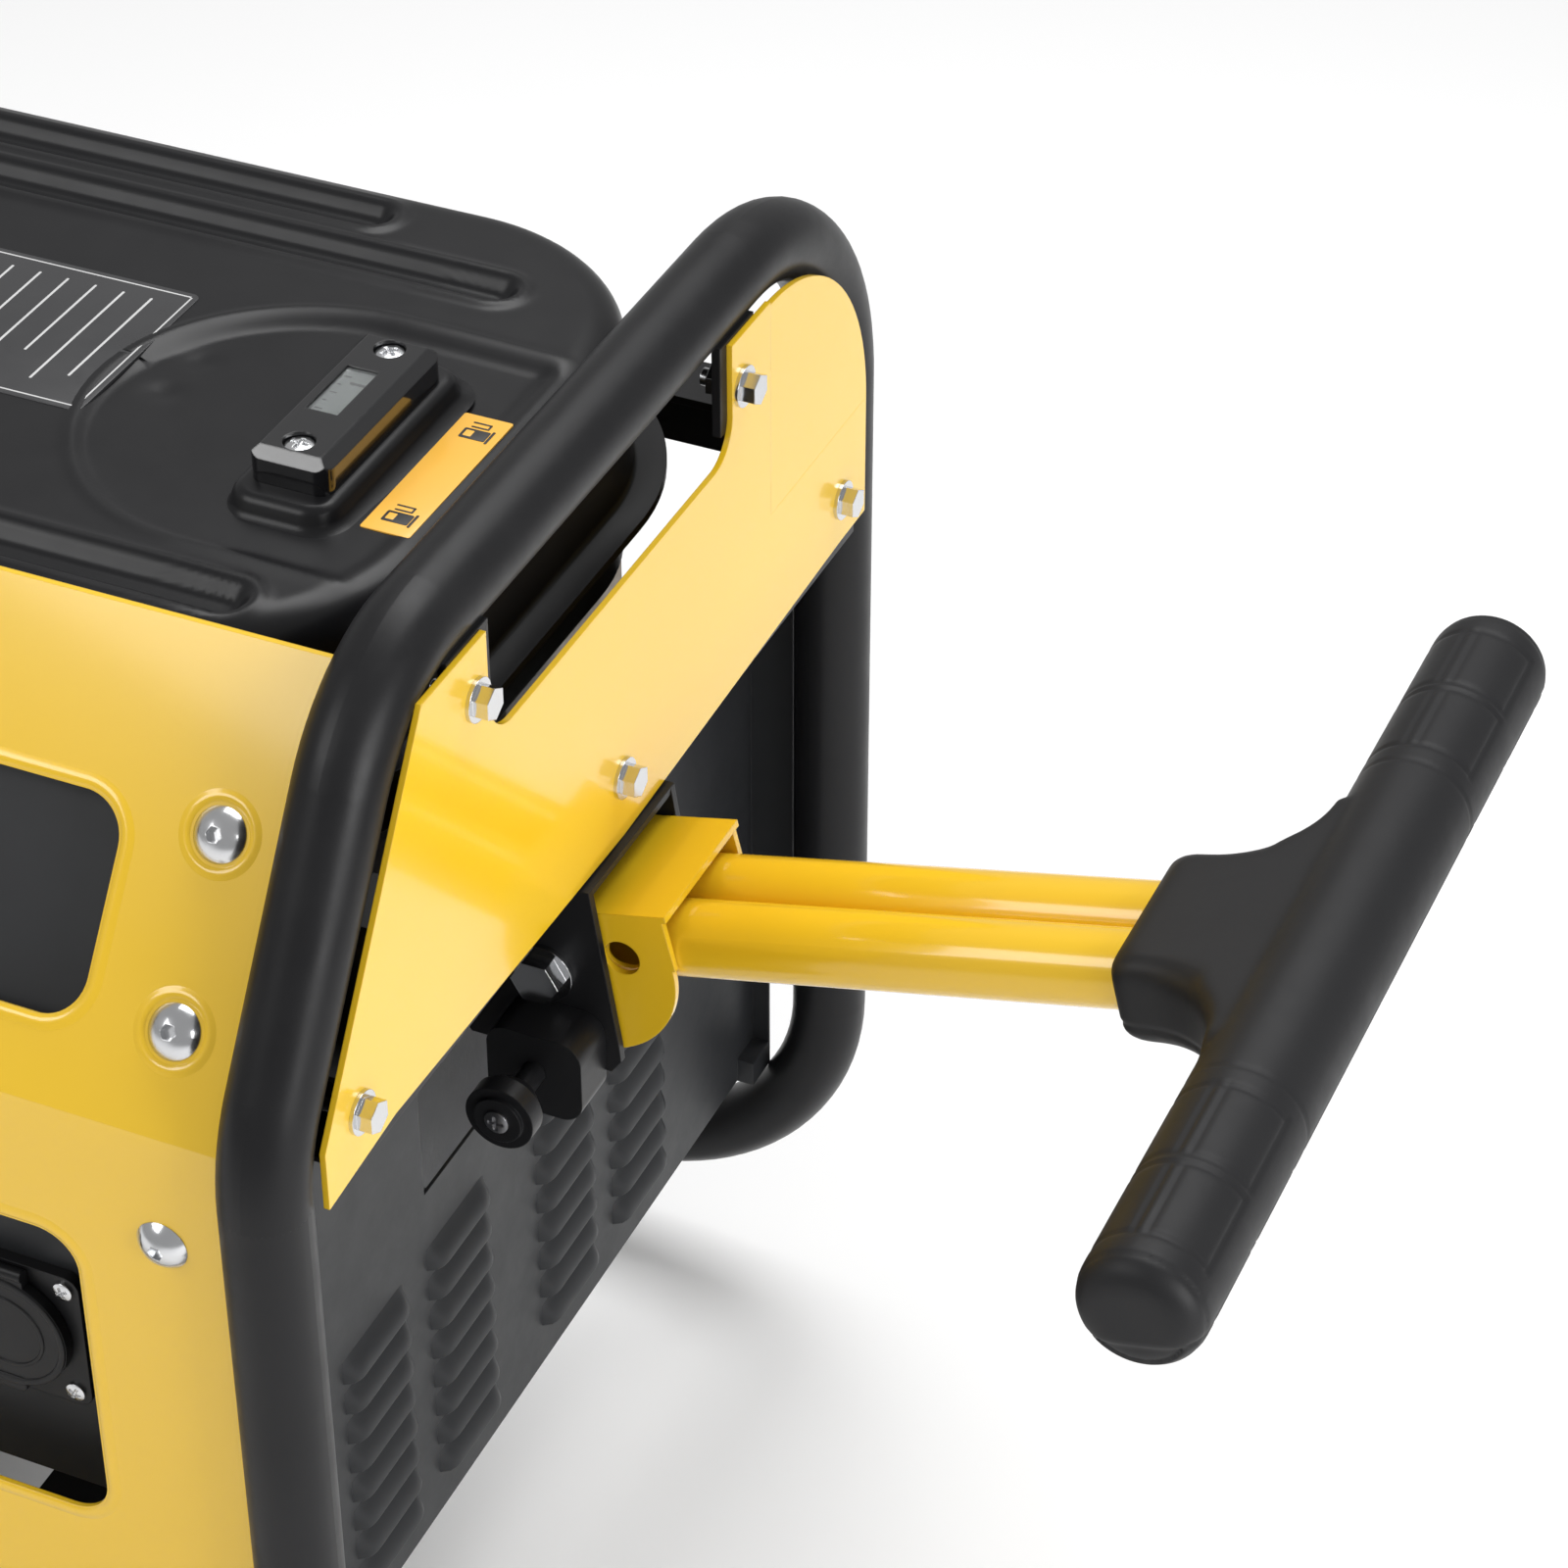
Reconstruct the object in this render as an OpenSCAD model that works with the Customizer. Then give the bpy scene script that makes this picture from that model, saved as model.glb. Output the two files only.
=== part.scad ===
// Portable petrol generator: tube frame, folding T-handle, two wheels, steel tank,
// air-cooled engine, alternator and socket panel. Millimetres.
// +X is the handle end, -Y the panel side, +Z up. The origin is on the ground,
// under the middle of the whole machine's box with the handle raised.

/* [Frame] */
// Length over the two end hoops' tubes
frame_l = 600; // [590:5:720]
// Width over the tubes
frame_w = 440; // [430:2:530]
// Height from the underside of the base rails to the top of the hoops
frame_h = 496; // [480:2:600]
// Ground clearance under the base rails
foot_h = 38; // [30:1:50]
// Outside diameter of the frame tube
tube_d = 28; // [25:0.5:34]
// Wall of the frame tube
tube_wall = 1.6; // [1.2:0.1:3]
// Centre-line radius of the bends into the base rails
rail_bend = 95; // [80:1:105]
// Centre-line radius of the hoop's rear top corner
rear_bend = 90; // [60:1:110]
// Centre-line radius of the hoop's front top corner and of its kink
front_bend = 60; // [45:1:64]
// Height of the leaning part of the front leg
lean_h = 120; // [110:1:130]
// How far the front leg leans in at the top
lean_in = 76; // [60:1:90]

/* [End plates] */
// Thickness of the yellow end plates
plate_t = 2; // [1.5:0.5:4]
// Gap between the tube's centre line and the plate's edge
plate_inset = 9; // [6:1:13]
// Half width of the hand slot in the plate
slot_half = 86; // [70:1:96]
// Shank diameter of the plate's bolts
bolt_d = 6; // [5:1:8]

/* [Handle] */
// Angle of the raised handle above the horizontal
handle_tilt = 13.7; // [8:0.1:14]
// Fold from the raised stop to hanging down
handle_fold = 104; // [90:1:104]
// Distance from the pivot to the middle of the grip bar
handle_len = 258; // [240:1:262]
// Diameter of each of the two handle tubes
arm_d = 25.4; // [22:0.2:27]
// Diameter of the pivot bolt
pivot_d = 10; // [8:1:12]
// Length of the grip bar
grip_l = 344; // [280:2:350]
// Diameter of the grip bar
grip_d = 40; // [34:1:42]
// Sheet thickness of the yoke and the bracket
yoke_t = 2.4; // [2:0.2:3]

/* [Tank] */
// Height of the tank's top deck above the end plate's lower bolts
deck_rise = 107; // [100:1:112]
// Depth of the tank below its seam
pan_h = 38; // [25:1:40]
// Plan radius of the tank's corners
tank_corner = 80; // [50:1:90]
// Sheet thickness of the tank
tank_t = 1.2; // [1:0.1:2]
// Diameter of the filler cap
cap_d = 92; // [80:1:110]

/* [Engine and alternator] */
// Diameter of the crankshaft
crank_d = 25; // [20:1:30]
// Outside radius of the stator
stator_r = 94; // [85:1:95]
// Bore radius of the stator
stator_bore = 58; // [50:1:62]
// Lean of the cylinder from vertical
cyl_lean = 50; // [48:1:52]

/* [Wheels and feet] */
// Diameter of each wheel
wheel_d = 190; // [184:2:200]
// Width of each tyre
wheel_w = 44; // [36:1:60]
// Diameter of the axle
axle_d = 16; // [12:1:20]

/* [Panel] */
// Thickness of the front panel's sheet
sheet_t = 1.6; // [1.2:0.2:2.4]
// Side of each socket's square flange
socket_s = 54; // [50:1:60]
// Distance between the sockets
socket_pitch = 76; // [70:1:80]

/* [Hidden] */
$fn = 48;

run = 0.05;         // radial running clearance of a shaft in its hole
weld = 0.01;        // root gap at each welded joint of the bent tubes
arm_lift = 3;       // how far the arms' axis sits above the pivot
tube_r = tube_d / 2;
grip_r = grip_d / 2;
pivot_in = 14;      // the pivot's distance inside the end plate's outer face
wheel_over = 21;    // how far the wheels reach past the other end plate
axle_in = wheel_d / 2 - wheel_over;

// places along X
front_reach = handle_len * cos(handle_tilt) - arm_lift * sin(handle_tilt) - pivot_in + grip_r;
back_reach = frame_l + 2 * plate_t + wheel_over;
ex = (back_reach - front_reach) / 2;
bx = ex - frame_l - 2 * plate_t;
hoop_x = ex - plate_t - tube_r;
hoop2_x = bx + plate_t + tube_r;
axle_x = bx + axle_in;

// places along Y and Z
leg_y = frame_w / 2 - tube_r;
rail_z = foot_h + tube_r;
rail_top = rail_z + tube_r;
top_z = foot_h + frame_h - tube_r;
kink_z = top_z - lean_h;
lean_slope = lean_in / lean_h;
lean_angle = atan(lean_slope);
pivot_x = ex - pivot_in;
pivot_z = kink_z - 60;
bar_lo = kink_z - 23.3;
bar_hi = kink_z + 12;
bar_w = 26;

// cross members, engine and alternator
member_h = 20;
mount_h = 25;
crank_y = 25;
base_z = rail_top + member_h + mount_h;
crank_z = base_z + 106;
case_x0 = ex - 410;
case_x1 = ex - 290;
cyl_x = ex - 345;
stator_x0 = ex - 270;
stator_x1 = ex - 135;

// tank
deck_z = kink_z + deck_rise;
seam_z = kink_z + 48;
pan_z = seam_z - pan_h;
tank_y0 = -leg_y + 82;
tank_y1 = leg_y - 58;
tank_x1 = ex - 36;
tank_x0 = bx + 36;
flange_w = 11;
rail_t = 3;
cap_x = ex - 360;
cap_y = 12;
gauge_x = ex - 88;
gauge_y = -7;

// front panel
panel_y = -leg_y;
panel_kink = kink_z - 5;
panel_top = kink_z + 116;
panel_bottom = kink_z - 250;
face_gap = 12;
face_in = 20;
window_x1 = ex - 84;
window_x0 = ex - 330;
socket_x = ex - 124;
socket_z = kink_z - 120;
socket_n = 2;
shroud_x0 = ex - 468;
shroud_x1 = case_x0;
recoil_x0 = ex - 512;
recoil_x = (recoil_x0 + shroud_x0) / 2 + 6;

function unit(v) = v / norm(v);

// a 2-D outline in Y and Z, extruded along X
module along_x(x0, x1) {
    translate([x0, 0, 0]) rotate([90, 0, 90]) linear_extrude(x1 - x0) children();
}

// a 2-D outline in X and Z, extruded along Y
module along_y(y0, y1) {
    translate([0, y1, 0]) rotate([90, 0, 0]) linear_extrude(y1 - y0) children();
}

module rod_x(r, x0, x1, y, z) {
    translate([x0, y, z]) rotate([0, 90, 0]) cylinder(r = r, h = x1 - x0);
}

module rod_y(r, y0, y1, x, z) {
    translate([x, y0, z]) rotate([-90, 0, 0]) cylinder(r = r, h = y1 - y0);
}

module rod_z(r, z0, z1, x, y) {
    translate([x, y, z0]) cylinder(r = r, h = z1 - z0);
}

module box(x0, x1, y0, y1, z0, z1) {
    translate([x0, y0, z0]) cube([x1 - x0, y1 - y0, z1 - z0]);
}

// rounded rectangle between two corners
module rrect(x0, x1, y0, y1, r) {
    translate([x0 + r, y0]) square([x1 - x0 - 2 * r, y1 - y0]);
    translate([x0, y0 + r]) square([x1 - x0, y1 - y0 - 2 * r]);
    for (x = [x0 + r, x1 - r], y = [y0 + r, y1 - r]) translate([x, y]) circle(r);
}

module rbox(x0, x1, y0, y1, z0, z1, r) {
    translate([0, 0, z0]) linear_extrude(z1 - z0) rrect(x0, x1, y0, y1, r);
}

// straight rod between two points
module rod(a, b, r) {
    d = b - a;
    translate(a) rotate([0, acos(d[2] / norm(d)), atan2(d[1], d[0])]) cylinder(r = r, h = norm(d));
}

// straight tube between two points
module tube(a, b, r, wall) {
    d = b - a;
    translate(a) rotate([0, acos(d[2] / norm(d)), atan2(d[1], d[0])]) difference() {
        cylinder(r = r, h = norm(d));
        translate([0, 0, -1]) cylinder(r = r - wall, h = norm(d) + 2);
    }
}

// bend at corner p, from direction d1 to direction d2
module bend(p, d1, d2, bend_r, r, wall) {
    turn = acos(d1 * d2);
    n = unit(d2 - d1 * (d1 * d2));
    c = p - d1 * bend_r * tan(turn / 2) + n * bend_r;
    a = -n;
    z = cross(a, d1);
    multmatrix([[a[0], d1[0], z[0], c[0]], [a[1], d1[1], z[1], c[1]], [a[2], d1[2], z[2], c[2]]])
        rotate_extrude(angle = turn) translate([bend_r, 0]) difference() {
            circle(r);
            circle(r - wall);
        }
}

// tube along corner points, with a bend radius for each inner corner
module bent_tube(p, radii, r, wall) {
    n = len(p);
    d = [for (i = [0 : n - 2]) unit(p[i + 1] - p[i])];
    cut = [for (i = [0 : n - 1]) (i == 0 || i == n - 1) ? 0
        : radii[i - 1] * tan(acos(d[i - 1] * d[i]) / 2)];
    for (i = [0 : n - 2]) tube(p[i] + d[i] * (cut[i] + weld), p[i + 1] - d[i] * (cut[i + 1] + weld), r, wall);
    for (i = [1 : n - 2]) bend(p[i], d[i - 1], d[i], radii[i - 1], r, wall);
}

// hoop path at x, with its rails turning towards side s
rail_stub = 20;
function hoop_path(x, s) = [
    [x + s * (rail_bend + rail_stub), -leg_y, rail_z],
    [x, -leg_y, rail_z],
    [x, -leg_y, kink_z],
    [x, -leg_y + lean_in, top_z],
    [x, leg_y, top_z],
    [x, leg_y, rail_z],
    [x + s * (rail_bend + rail_stub), leg_y, rail_z]
];
hoop_radii = [rail_bend, front_bend, front_bend, rear_bend, rail_bend];

module hoop_rod(x, s) {
    bent_tube(hoop_path(x, s), hoop_radii, tube_r, tube_wall);
}

// Y of the panel's outer face at height z
function face_y(z) = panel_y + max(0, z - panel_kink) * lean_slope / 0.9;

panel_bolt_z = [kink_z + 69, kink_z + 21, kink_z - 47];
tab_w = 24;
tab_t = 3;

// tab behind the front panel at one bolt, x from the tube inwards
module panel_tab(x, s, z) {
    reach = 36;
    lean = z > panel_kink ? atan(lean_slope / 0.9) : 0;
    x0 = x + s * (tube_r - tube_wall / 2 - 0.4);
    x1 = x + s * (tube_r + reach);
    translate([0, face_y(z), z]) rotate([-lean, 0, 0]) translate([0, sheet_t, 0]) difference() {
        box(min(x0, x1), max(x0, x1), 0, tab_t, -tab_w / 2, tab_w / 2);
        rod_y(bolt_d / 2, -1, tab_t + 1, x + s * 37, 0);
    }
}

upper_bolt_y = 94;
upper_bolt_z = kink_z + 93;
lower_bolt_y = 176;

// one end hoop: x of its tube, s the side its rails turn to
module end_hoop(x, s) {
    hoop_rod(x, s);
    for (z = panel_bolt_z) panel_tab(x, s, z);
    for (y = [-upper_bolt_y, upper_bolt_y]) difference() {
        x0 = x - s * tube_r;
        box(min(x0, x0 + s * tab_t), max(x0, x0 + s * tab_t), y - 13, y + 13, upper_bolt_z - 13, top_z - 7);
        rod_x(bolt_d / 2, x - 20, x + 20, y, upper_bolt_z);
    }
}

module end_hoop_handle() {
    color("#17181a") end_hoop(hoop_x, -1);
}

module end_hoop_wheel() {
    color("#17181a") end_hoop(hoop2_x, 1);
}

rail_x1 = hoop_x - rail_bend - rail_stub;
rail_x0 = hoop2_x + rail_bend + rail_stub;

module base_rails() {
    color("#17181a") for (s = [-1, 1]) difference() {
        rod_x(tube_r, rail_x0, rail_x1, s * leg_y, rail_z);
        rod_x(tube_r - tube_wall, rail_x0 - 1, rail_x1 + 1, s * leg_y, rail_z);
    }
}

member_w = 40;
member_x = [ex - 175, case_x1 - 24, case_x0 + 24];
mount_y = [crank_y - 52, crank_y + 52];

// channels across the rails, and the bars behind the end plates
module cross_members() {
    wall = 3;
    color("#17181a") {
        for (x = member_x) difference() {
            box(x - member_w / 2, x + member_w / 2, -leg_y - 8, leg_y + 8, rail_top, rail_top + member_h);
            box(x - member_w / 2 + wall, x + member_w / 2 - wall, -leg_y - 9, leg_y + 9,
                rail_top - 1, rail_top + member_h - wall);
            for (y = mount_y) rod_z(4, rail_top, rail_top + member_h + 1, x, y);
        }
        for (x = [ex - plate_t - bar_w, bx + plate_t]) difference() {
            box(x, x + bar_w, -leg_y + tube_r + 14, leg_y - tube_r - 0.3, bar_lo, bar_hi);
            box(x + 2, x + bar_w - 2, -leg_y, leg_y, bar_lo + 2, bar_hi - 2);
            for (y = [-lower_bolt_y, 0, lower_bolt_y]) rod_x(bolt_d / 2, x - 1, x + bar_w + 1, y, kink_z);
        }
    }
}

rail_in = 14;
tank_rail_y = [tank_y0 - flange_w - rail_in, tank_y1 + flange_w + rail_in];
bush_x = [tank_x1 - 70, tank_x0 + 70];

// angle bars that carry the tank's flange
module tank_rails() {
    leaf = 24;
    seat_z = seam_z - rail_t;
    color("#17181a") for (k = [0, 1]) {
        y = tank_rail_y[k];
        s = k == 0 ? 1 : -1;
        difference() {
            union() {
                box(bx + plate_t + 2, ex - plate_t - 2, min(y, y + s * rail_t), max(y, y + s * rail_t), bar_hi, seat_z);
                box(bx + plate_t + 2, ex - plate_t - 2, min(y, y + s * leaf), max(y, y + s * leaf), seat_z - rail_t, seat_z);
            }
            for (x = bush_x) rod_z(3.2, seat_z - 5, seat_z + 1, x, bush_y[k]);
        }
    }
}

slot_z = kink_z + 72;
arm_top = kink_z + 112;
plate_side = kink_z - 17;
plate_mid = kink_z - 23;

// outline of an end plate in Y and Z
module plate_outline() {
    corner = 14;
    front_y = -leg_y + plate_inset;
    lean_top = front_y + (arm_top - kink_z) * lean_slope;
    rear_y = leg_y - plate_inset;
    rear_r = rear_bend - plate_inset;
    arc_z = top_z - rear_bend;
    difference() {
        union() {
            polygon([[front_y, plate_side - 4], [front_y, kink_z], [lean_top, arm_top], [rear_y - rear_r, arm_top],
                [rear_y - rear_r, arc_z], [rear_y, arc_z], [rear_y, plate_side], [lower_bolt_y, plate_side],
                [0, plate_mid], [-lower_bolt_y + 20, plate_side]]);
            intersection() {
                translate([rear_y - rear_r, arc_z]) circle(rear_r, $fn = 96);
                translate([rear_y - rear_r - 1, arc_z - 1]) square([rear_r + 1, arm_top - arc_z + 1]);
            }
        }
        translate([-slot_half, slot_z + corner]) square([2 * slot_half, arm_top]);
        translate([-slot_half + corner, slot_z]) square([2 * slot_half - 2 * corner, corner + 1]);
        for (y = [-slot_half + corner, slot_half - corner]) translate([y, slot_z + corner]) circle(corner);
        for (y = [-upper_bolt_y, upper_bolt_y]) translate([y, upper_bolt_z]) circle(bolt_d / 2);
        for (y = [-lower_bolt_y, 0, lower_bolt_y]) translate([y, kink_z]) circle(bolt_d / 2);
    }
}

module end_plate_handle() {
    color("#f2c40b") along_x(ex - plate_t, ex) plate_outline();
}

module end_plate_wheel() {
    color("#f2c40b") along_x(bx, bx + plate_t) plate_outline();
}

// flange bolt along X with its nut; face_x is the plate's outer face, s points outwards
module flange_bolt(face_x, s, y, z, grip) {
    head = 5;
    translate([face_x, y, z]) rotate([0, s * 90, 0]) {
        cylinder(r = bolt_d * 1.18, h = 1.4);
        cylinder(r = bolt_d * 0.92, h = 1.4 + head, $fn = 6);
        translate([0, 0, -grip - 9]) cylinder(r = bolt_d / 2 - run, h = grip + 9);
        translate([0, 0, -grip - 6]) cylinder(r = bolt_d * 0.96, h = 6, $fn = 6);
    }
}

module end_plate_bolts() {
    color("#c9ccd0") for (e = [[ex, 1], [bx, -1]]) {
        for (y = [-upper_bolt_y, upper_bolt_y]) flange_bolt(e[0], e[1], y, upper_bolt_z, plate_t + tab_t);
        for (y = [-lower_bolt_y, 0, lower_bolt_y]) flange_bolt(e[0], e[1], y, kink_z, plate_t + bar_w);
    }
}

panel_x1 = hoop_x - tube_r - 0.5;
panel_x0 = hoop2_x + tube_r + 0.5;
bolt_x = [hoop_x - 37, hoop2_x + 37];

// hole square to the panel at one of its bolts
module panel_bolt_hole(x, z, r) {
    lean = z > panel_kink ? atan(lean_slope / 0.9) : 0;
    translate([x, face_y(z), z]) rotate([90 - lean, 0, 0]) translate([0, 0, -12]) cylinder(r = r, h = 24);
}

window_lo = kink_z + 16;
window_hi = kink_z + 71;
window2_lo = kink_z - 175;
window2_hi = kink_z - 56;

// cut-out for the sloping upper window, d deep to each side
module upper_window(grow, d) {
    lean = atan(lean_slope / 0.9);
    h = (window_hi - window_lo) / cos(lean);
    translate([0, face_y(window_lo), window_lo]) rotate([90 - lean, 0, 0]) translate([0, 0, -d])
        linear_extrude(2 * d) rrect(window_x0 - grow, window_x1 + grow, -grow, h + grow, 14 + grow);
}

module lower_window(grow, d) {
    along_y(panel_y - d, panel_y + d)
        rrect(window_x0 - grow, window_x1 + grow, window2_lo - grow, window2_hi + grow, 14 + grow);
}

// outline of a bent sheet behind the panel's face, g inwards, t thick
module bent_sheet(g, t, z0, z1) {
    top_y = face_y(z1);
    k = sheet_t > 0 ? tan(atan(lean_slope / 0.9) / 2) : 0;
    c = cos(atan(lean_slope / 0.9));
    polygon([[panel_y + g, z0], [panel_y + g, panel_kink - g * k], [top_y + g / c, z1],
        [top_y + (g + t) / c, z1], [panel_y + g + t, panel_kink - (g + t) * k], [panel_y + g + t, z0]]);
}

// yellow fascia between the two hoops
module front_panel() {
    vent_n = 3;
    vent_pitch = 20;
    color("#f2c40b") difference() {
        along_x(panel_x0, panel_x1) bent_sheet(0, sheet_t, panel_bottom, panel_top);
        upper_window(0, 6);
        lower_window(0, 6);
        for (x = bolt_x, z = panel_bolt_z) panel_bolt_hole(x, z, bolt_d / 2);
        along_y(panel_y - 5, panel_y + 5)
            rrect(recoil_x - 32, recoil_x + 32, crank_z - 48, crank_z + 48, 20);
        for (i = [0 : vent_n - 1]) along_y(panel_y - 5, panel_y + 5)
            rrect(window_x0 - 170, window_x0 - 50, window2_hi - 8 - i * vent_pitch, window2_hi - i * vent_pitch, 3.9);
    }
}

// button-head bolts of the front panel
module front_panel_bolts() {
    head_r = 8.6;
    color("#d5d7da") for (x = bolt_x, z = panel_bolt_z) {
        lean = z > panel_kink ? atan(lean_slope / 0.9) : 0;
        translate([x, face_y(z), z]) rotate([90 - lean, 0, 0]) difference() {
            union() {
                intersection() {
                    cylinder(r = head_r, h = 5);
                    translate([0, 0, -6]) sphere(r = 10.6);
                }
                translate([0, 0, -12]) cylinder(r = bolt_d / 2 - run, h = 12);
            }
            translate([0, 0, 1.6]) cylinder(r = 2.6, h = 5, $fn = 6);
        }
    }
}

cover_x = ex - 48;
cover_half = leg_y - 0.5;
cover_lo = kink_z - 294;
cover_t = 1.2;
notch_half = 60;
notch_lo = kink_z - 147;
louvre_y = [-99, -40, 40, 99];
louvre_w = 42;
louvre_n = 8;
louvre_pitch = 13.7;
louvre_lo = kink_z - 276;

// louvred sheet behind the handle, hung from the crossbar, its sides turned towards the hoop
module end_cover() {
    front_y = -leg_y + 8;
    reach = 17;
    low_reach = 7;
    color("#1b1c1e") difference() {
        union() {
            box(cover_x - cover_t, cover_x, front_y, cover_half, cover_lo, bar_lo - 1);
            for (y = [front_y, cover_half - cover_t]) {
                box(cover_x - cover_t, cover_x + reach, y, y + cover_t, rail_z + rail_bend + 4, bar_lo - 1);
                box(cover_x - cover_t, cover_x + low_reach, y, y + cover_t, cover_lo + 8, rail_z + rail_bend + 5);
            }
            box(cover_x - 1, cover_x + low_reach, cover_half - 16, cover_half, cover_lo, cover_lo + 11);
            for (s = [-1, 1])
                box(cover_x - cover_t, ex - plate_t - bar_w, s * 130 - 15, s * 130 + 15, bar_lo - 1 - cover_t, bar_lo);
        }
        box(cover_x - 30, cover_x + 30, -notch_half, notch_half, notch_lo, bar_lo + 1);
        for (y = louvre_y, i = [0 : louvre_n - 1])
            box(cover_x - 5, cover_x + 5, y - louvre_w / 2, y + louvre_w / 2,
                louvre_lo + i * louvre_pitch, louvre_lo + i * louvre_pitch + 3);
    }
}

bracket_half = 32;
bracket_t = 2.8;
lock_r = 27.8;
fold_hole_angle = 8.6;
lock_angle = fold_hole_angle + handle_tilt - handle_fold;
lock_x = pivot_x + lock_r * cos(lock_angle);
lock_z = pivot_z + lock_r * sin(lock_angle);
pin_r = 4;

// fixed inverted channel under the crossbar
module handle_bracket() {
    color("#141517") difference() {
        union() {
            box(ex - 60, ex + 2.7, -bracket_half, bracket_half, bar_lo - bracket_t, bar_lo);
            for (s = [-1, 1]) along_y(s > 0 ? bracket_half - bracket_t : -bracket_half,
                    s > 0 ? bracket_half : -bracket_half + bracket_t)
                polygon([[ex - 60, bar_lo], [ex + 2.7, bar_lo], [ex + 12, pivot_z - 24], [ex + 12.5, pivot_z - 30],
                    [ex + 9, pivot_z - 35], [ex - 42, pivot_z - 35], [ex - 60, pivot_z - 12]]);
        }
        rod_y(pivot_d / 2, -50, 50, pivot_x, pivot_z);
        rod_y(pin_r + run, -50, 0, lock_x, lock_z);
    }
}

// pivot bolt with its head on the panel side and a nut behind
module pivot_bolt() {
    end = bracket_half;
    color("#8d8f92") {
        rod_y(pivot_d / 2 - run, -end, end + 9, pivot_x, pivot_z);
        rod_y(10.5, -end - 2, -end, pivot_x, pivot_z);
        translate([pivot_x, -end - 8, pivot_z]) rotate([-90, 0, 0]) cylinder(r = 8.6, h = 6.5, $fn = 6);
        translate([pivot_x, end, pivot_z]) rotate([-90, 0, 0]) cylinder(r = 9.2, h = 7, $fn = 6);
    }
}

lock_y = -bracket_half - 18;
knob_r = 12;

// block on the bracket that guides the lock plunger
module lock_housing() {
    color("#101113") difference() {
        along_y(lock_y, -bracket_half) rrect(lock_x - 17, lock_x + 17, lock_z - 17, lock_z + 15, 8);
        rod_y(pin_r + run, lock_y - 5, 0, lock_x, lock_z);
    }
}

// plunger and knob, drawn out: pushed along +Y it locks the handle
module lock_knob() {
    neck = 12;
    color("#0e0f10") {
        rod_y(pin_r, lock_y - neck - 1, -bracket_half + bracket_t - 0.2, lock_x, lock_z);
        translate([lock_x, lock_y - neck, lock_z]) rotate([90, 0, 0]) {
            cylinder(r1 = 7, r2 = knob_r, h = 6);
            translate([0, 0, 6]) cylinder(r = knob_r, h = 7);
            translate([0, 0, 13]) cylinder(r = knob_r - 3.5, h = 1.5);
        }
    }
}

arm_r = arm_d / 2;
yoke_half = arm_d + 0.2 + yoke_t;
web_h = 18.9;

// frame of the handle: X along the arms from the pivot, Z square to them
module handle_frame() {
    translate([pivot_x, 0, pivot_z]) rotate([0, -handle_tilt, 0]) children();
}

function polar(r, a) = [r * cos(a), r * sin(a)];
rest_hole = polar(lock_r, lock_angle - handle_tilt);
fold_hole = polar(lock_r, fold_hole_angle);

// inverted channel that turns with the arms
module handle_yoke() {
    lobe_r = 33;
    front = 46;
    color("#f2c40b") handle_frame() difference() {
        union() {
            for (s = [-1, 1]) along_y(s > 0 ? yoke_half - yoke_t : -yoke_half, s > 0 ? yoke_half : -yoke_half + yoke_t) {
                intersection() {
                    translate([12, 0]) circle(lobe_r, $fn = 72);
                    translate([12 - lobe_r, -lobe_r - 1]) square([2 * lobe_r, lobe_r + 1 + web_h + yoke_t]);
                }
                translate([12 - lobe_r, 0]) square([front - 12 + lobe_r, web_h + yoke_t]);
                translate(rest_hole) circle(11.5);
            }
            box(12 - lobe_r, front + 1.5, -yoke_half, yoke_half, web_h, web_h + yoke_t);
        }
        rod_y(pivot_d / 2, -50, 50, 0, 0);
        rod_y(6.4, -50, 0, fold_hole[0], fold_hole[1]);
        rod_y(pin_r + 0.4, -50, 0, rest_hole[0], rest_hole[1]);
    }
}

arm_start = -16;
collar_start = 198;

// two parallel arms on the pivot bolt
module handle_tubes() {
    wall = 1.6;
    color("#f2c40b") handle_frame() difference() {
        for (s = [-1, 1]) translate([0, 0, arm_lift]) rod_x(arm_r, arm_start, handle_len - 12, s * (arm_r + 0.1), 0);
        for (s = [-1, 1]) translate([0, 0, arm_lift]) rod_x(arm_r - wall, arm_start - 1, handle_len - 11, s * (arm_r + 0.1), 0);
        rod_y(pivot_d / 2, -50, 50, 0, 0);
        rod_y(6.4, -30, -arm_r, fold_hole[0], fold_hole[1]);
    }
}

// T-shaped grip, cut into two shells on the plane of the arms
module grip_solid() {
    collar_half = 33;
    collar_h = 17;
    flare = 26;
    difference() {
        union() {
            rod_y(grip_r, -grip_l / 2, grip_l / 2, handle_len, arm_lift);
            translate([0, 0, arm_lift - collar_h]) linear_extrude(2 * collar_h) difference() {
                translate([collar_start, -collar_half - flare]) square([handle_len - collar_start, 2 * (collar_half + flare)]);
                for (s = [-1, 1]) translate([handle_len - grip_r - flare, s * (collar_half + flare)]) circle(flare);
                for (s = [-1, 1]) translate([collar_start - 1, s > 0 ? collar_half : -collar_half - flare - 1])
                    square([handle_len - grip_r - flare - collar_start + 1, flare + 1]);
            }
        }
        for (s = [-1, 1]) rod_x(arm_r + run, collar_start - 1, handle_len - 11.9, s * (arm_r + 0.1), arm_lift);
        rod_y(9, -grip_l / 2 + 20, grip_l / 2 - 20, handle_len, arm_lift);
    }
}

module grip_shell_upper() {
    color("#161718") handle_frame() intersection() {
        grip_solid();
        box(0, 400, -300, 300, arm_lift, 100);
    }
}

module grip_shell_lower() {
    color("#161718") handle_frame() intersection() {
        grip_solid();
        box(0, 400, -300, 300, -100, arm_lift);
    }
}

foot_x = rail_x1 - 30;
bracket_w = 8;

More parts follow.
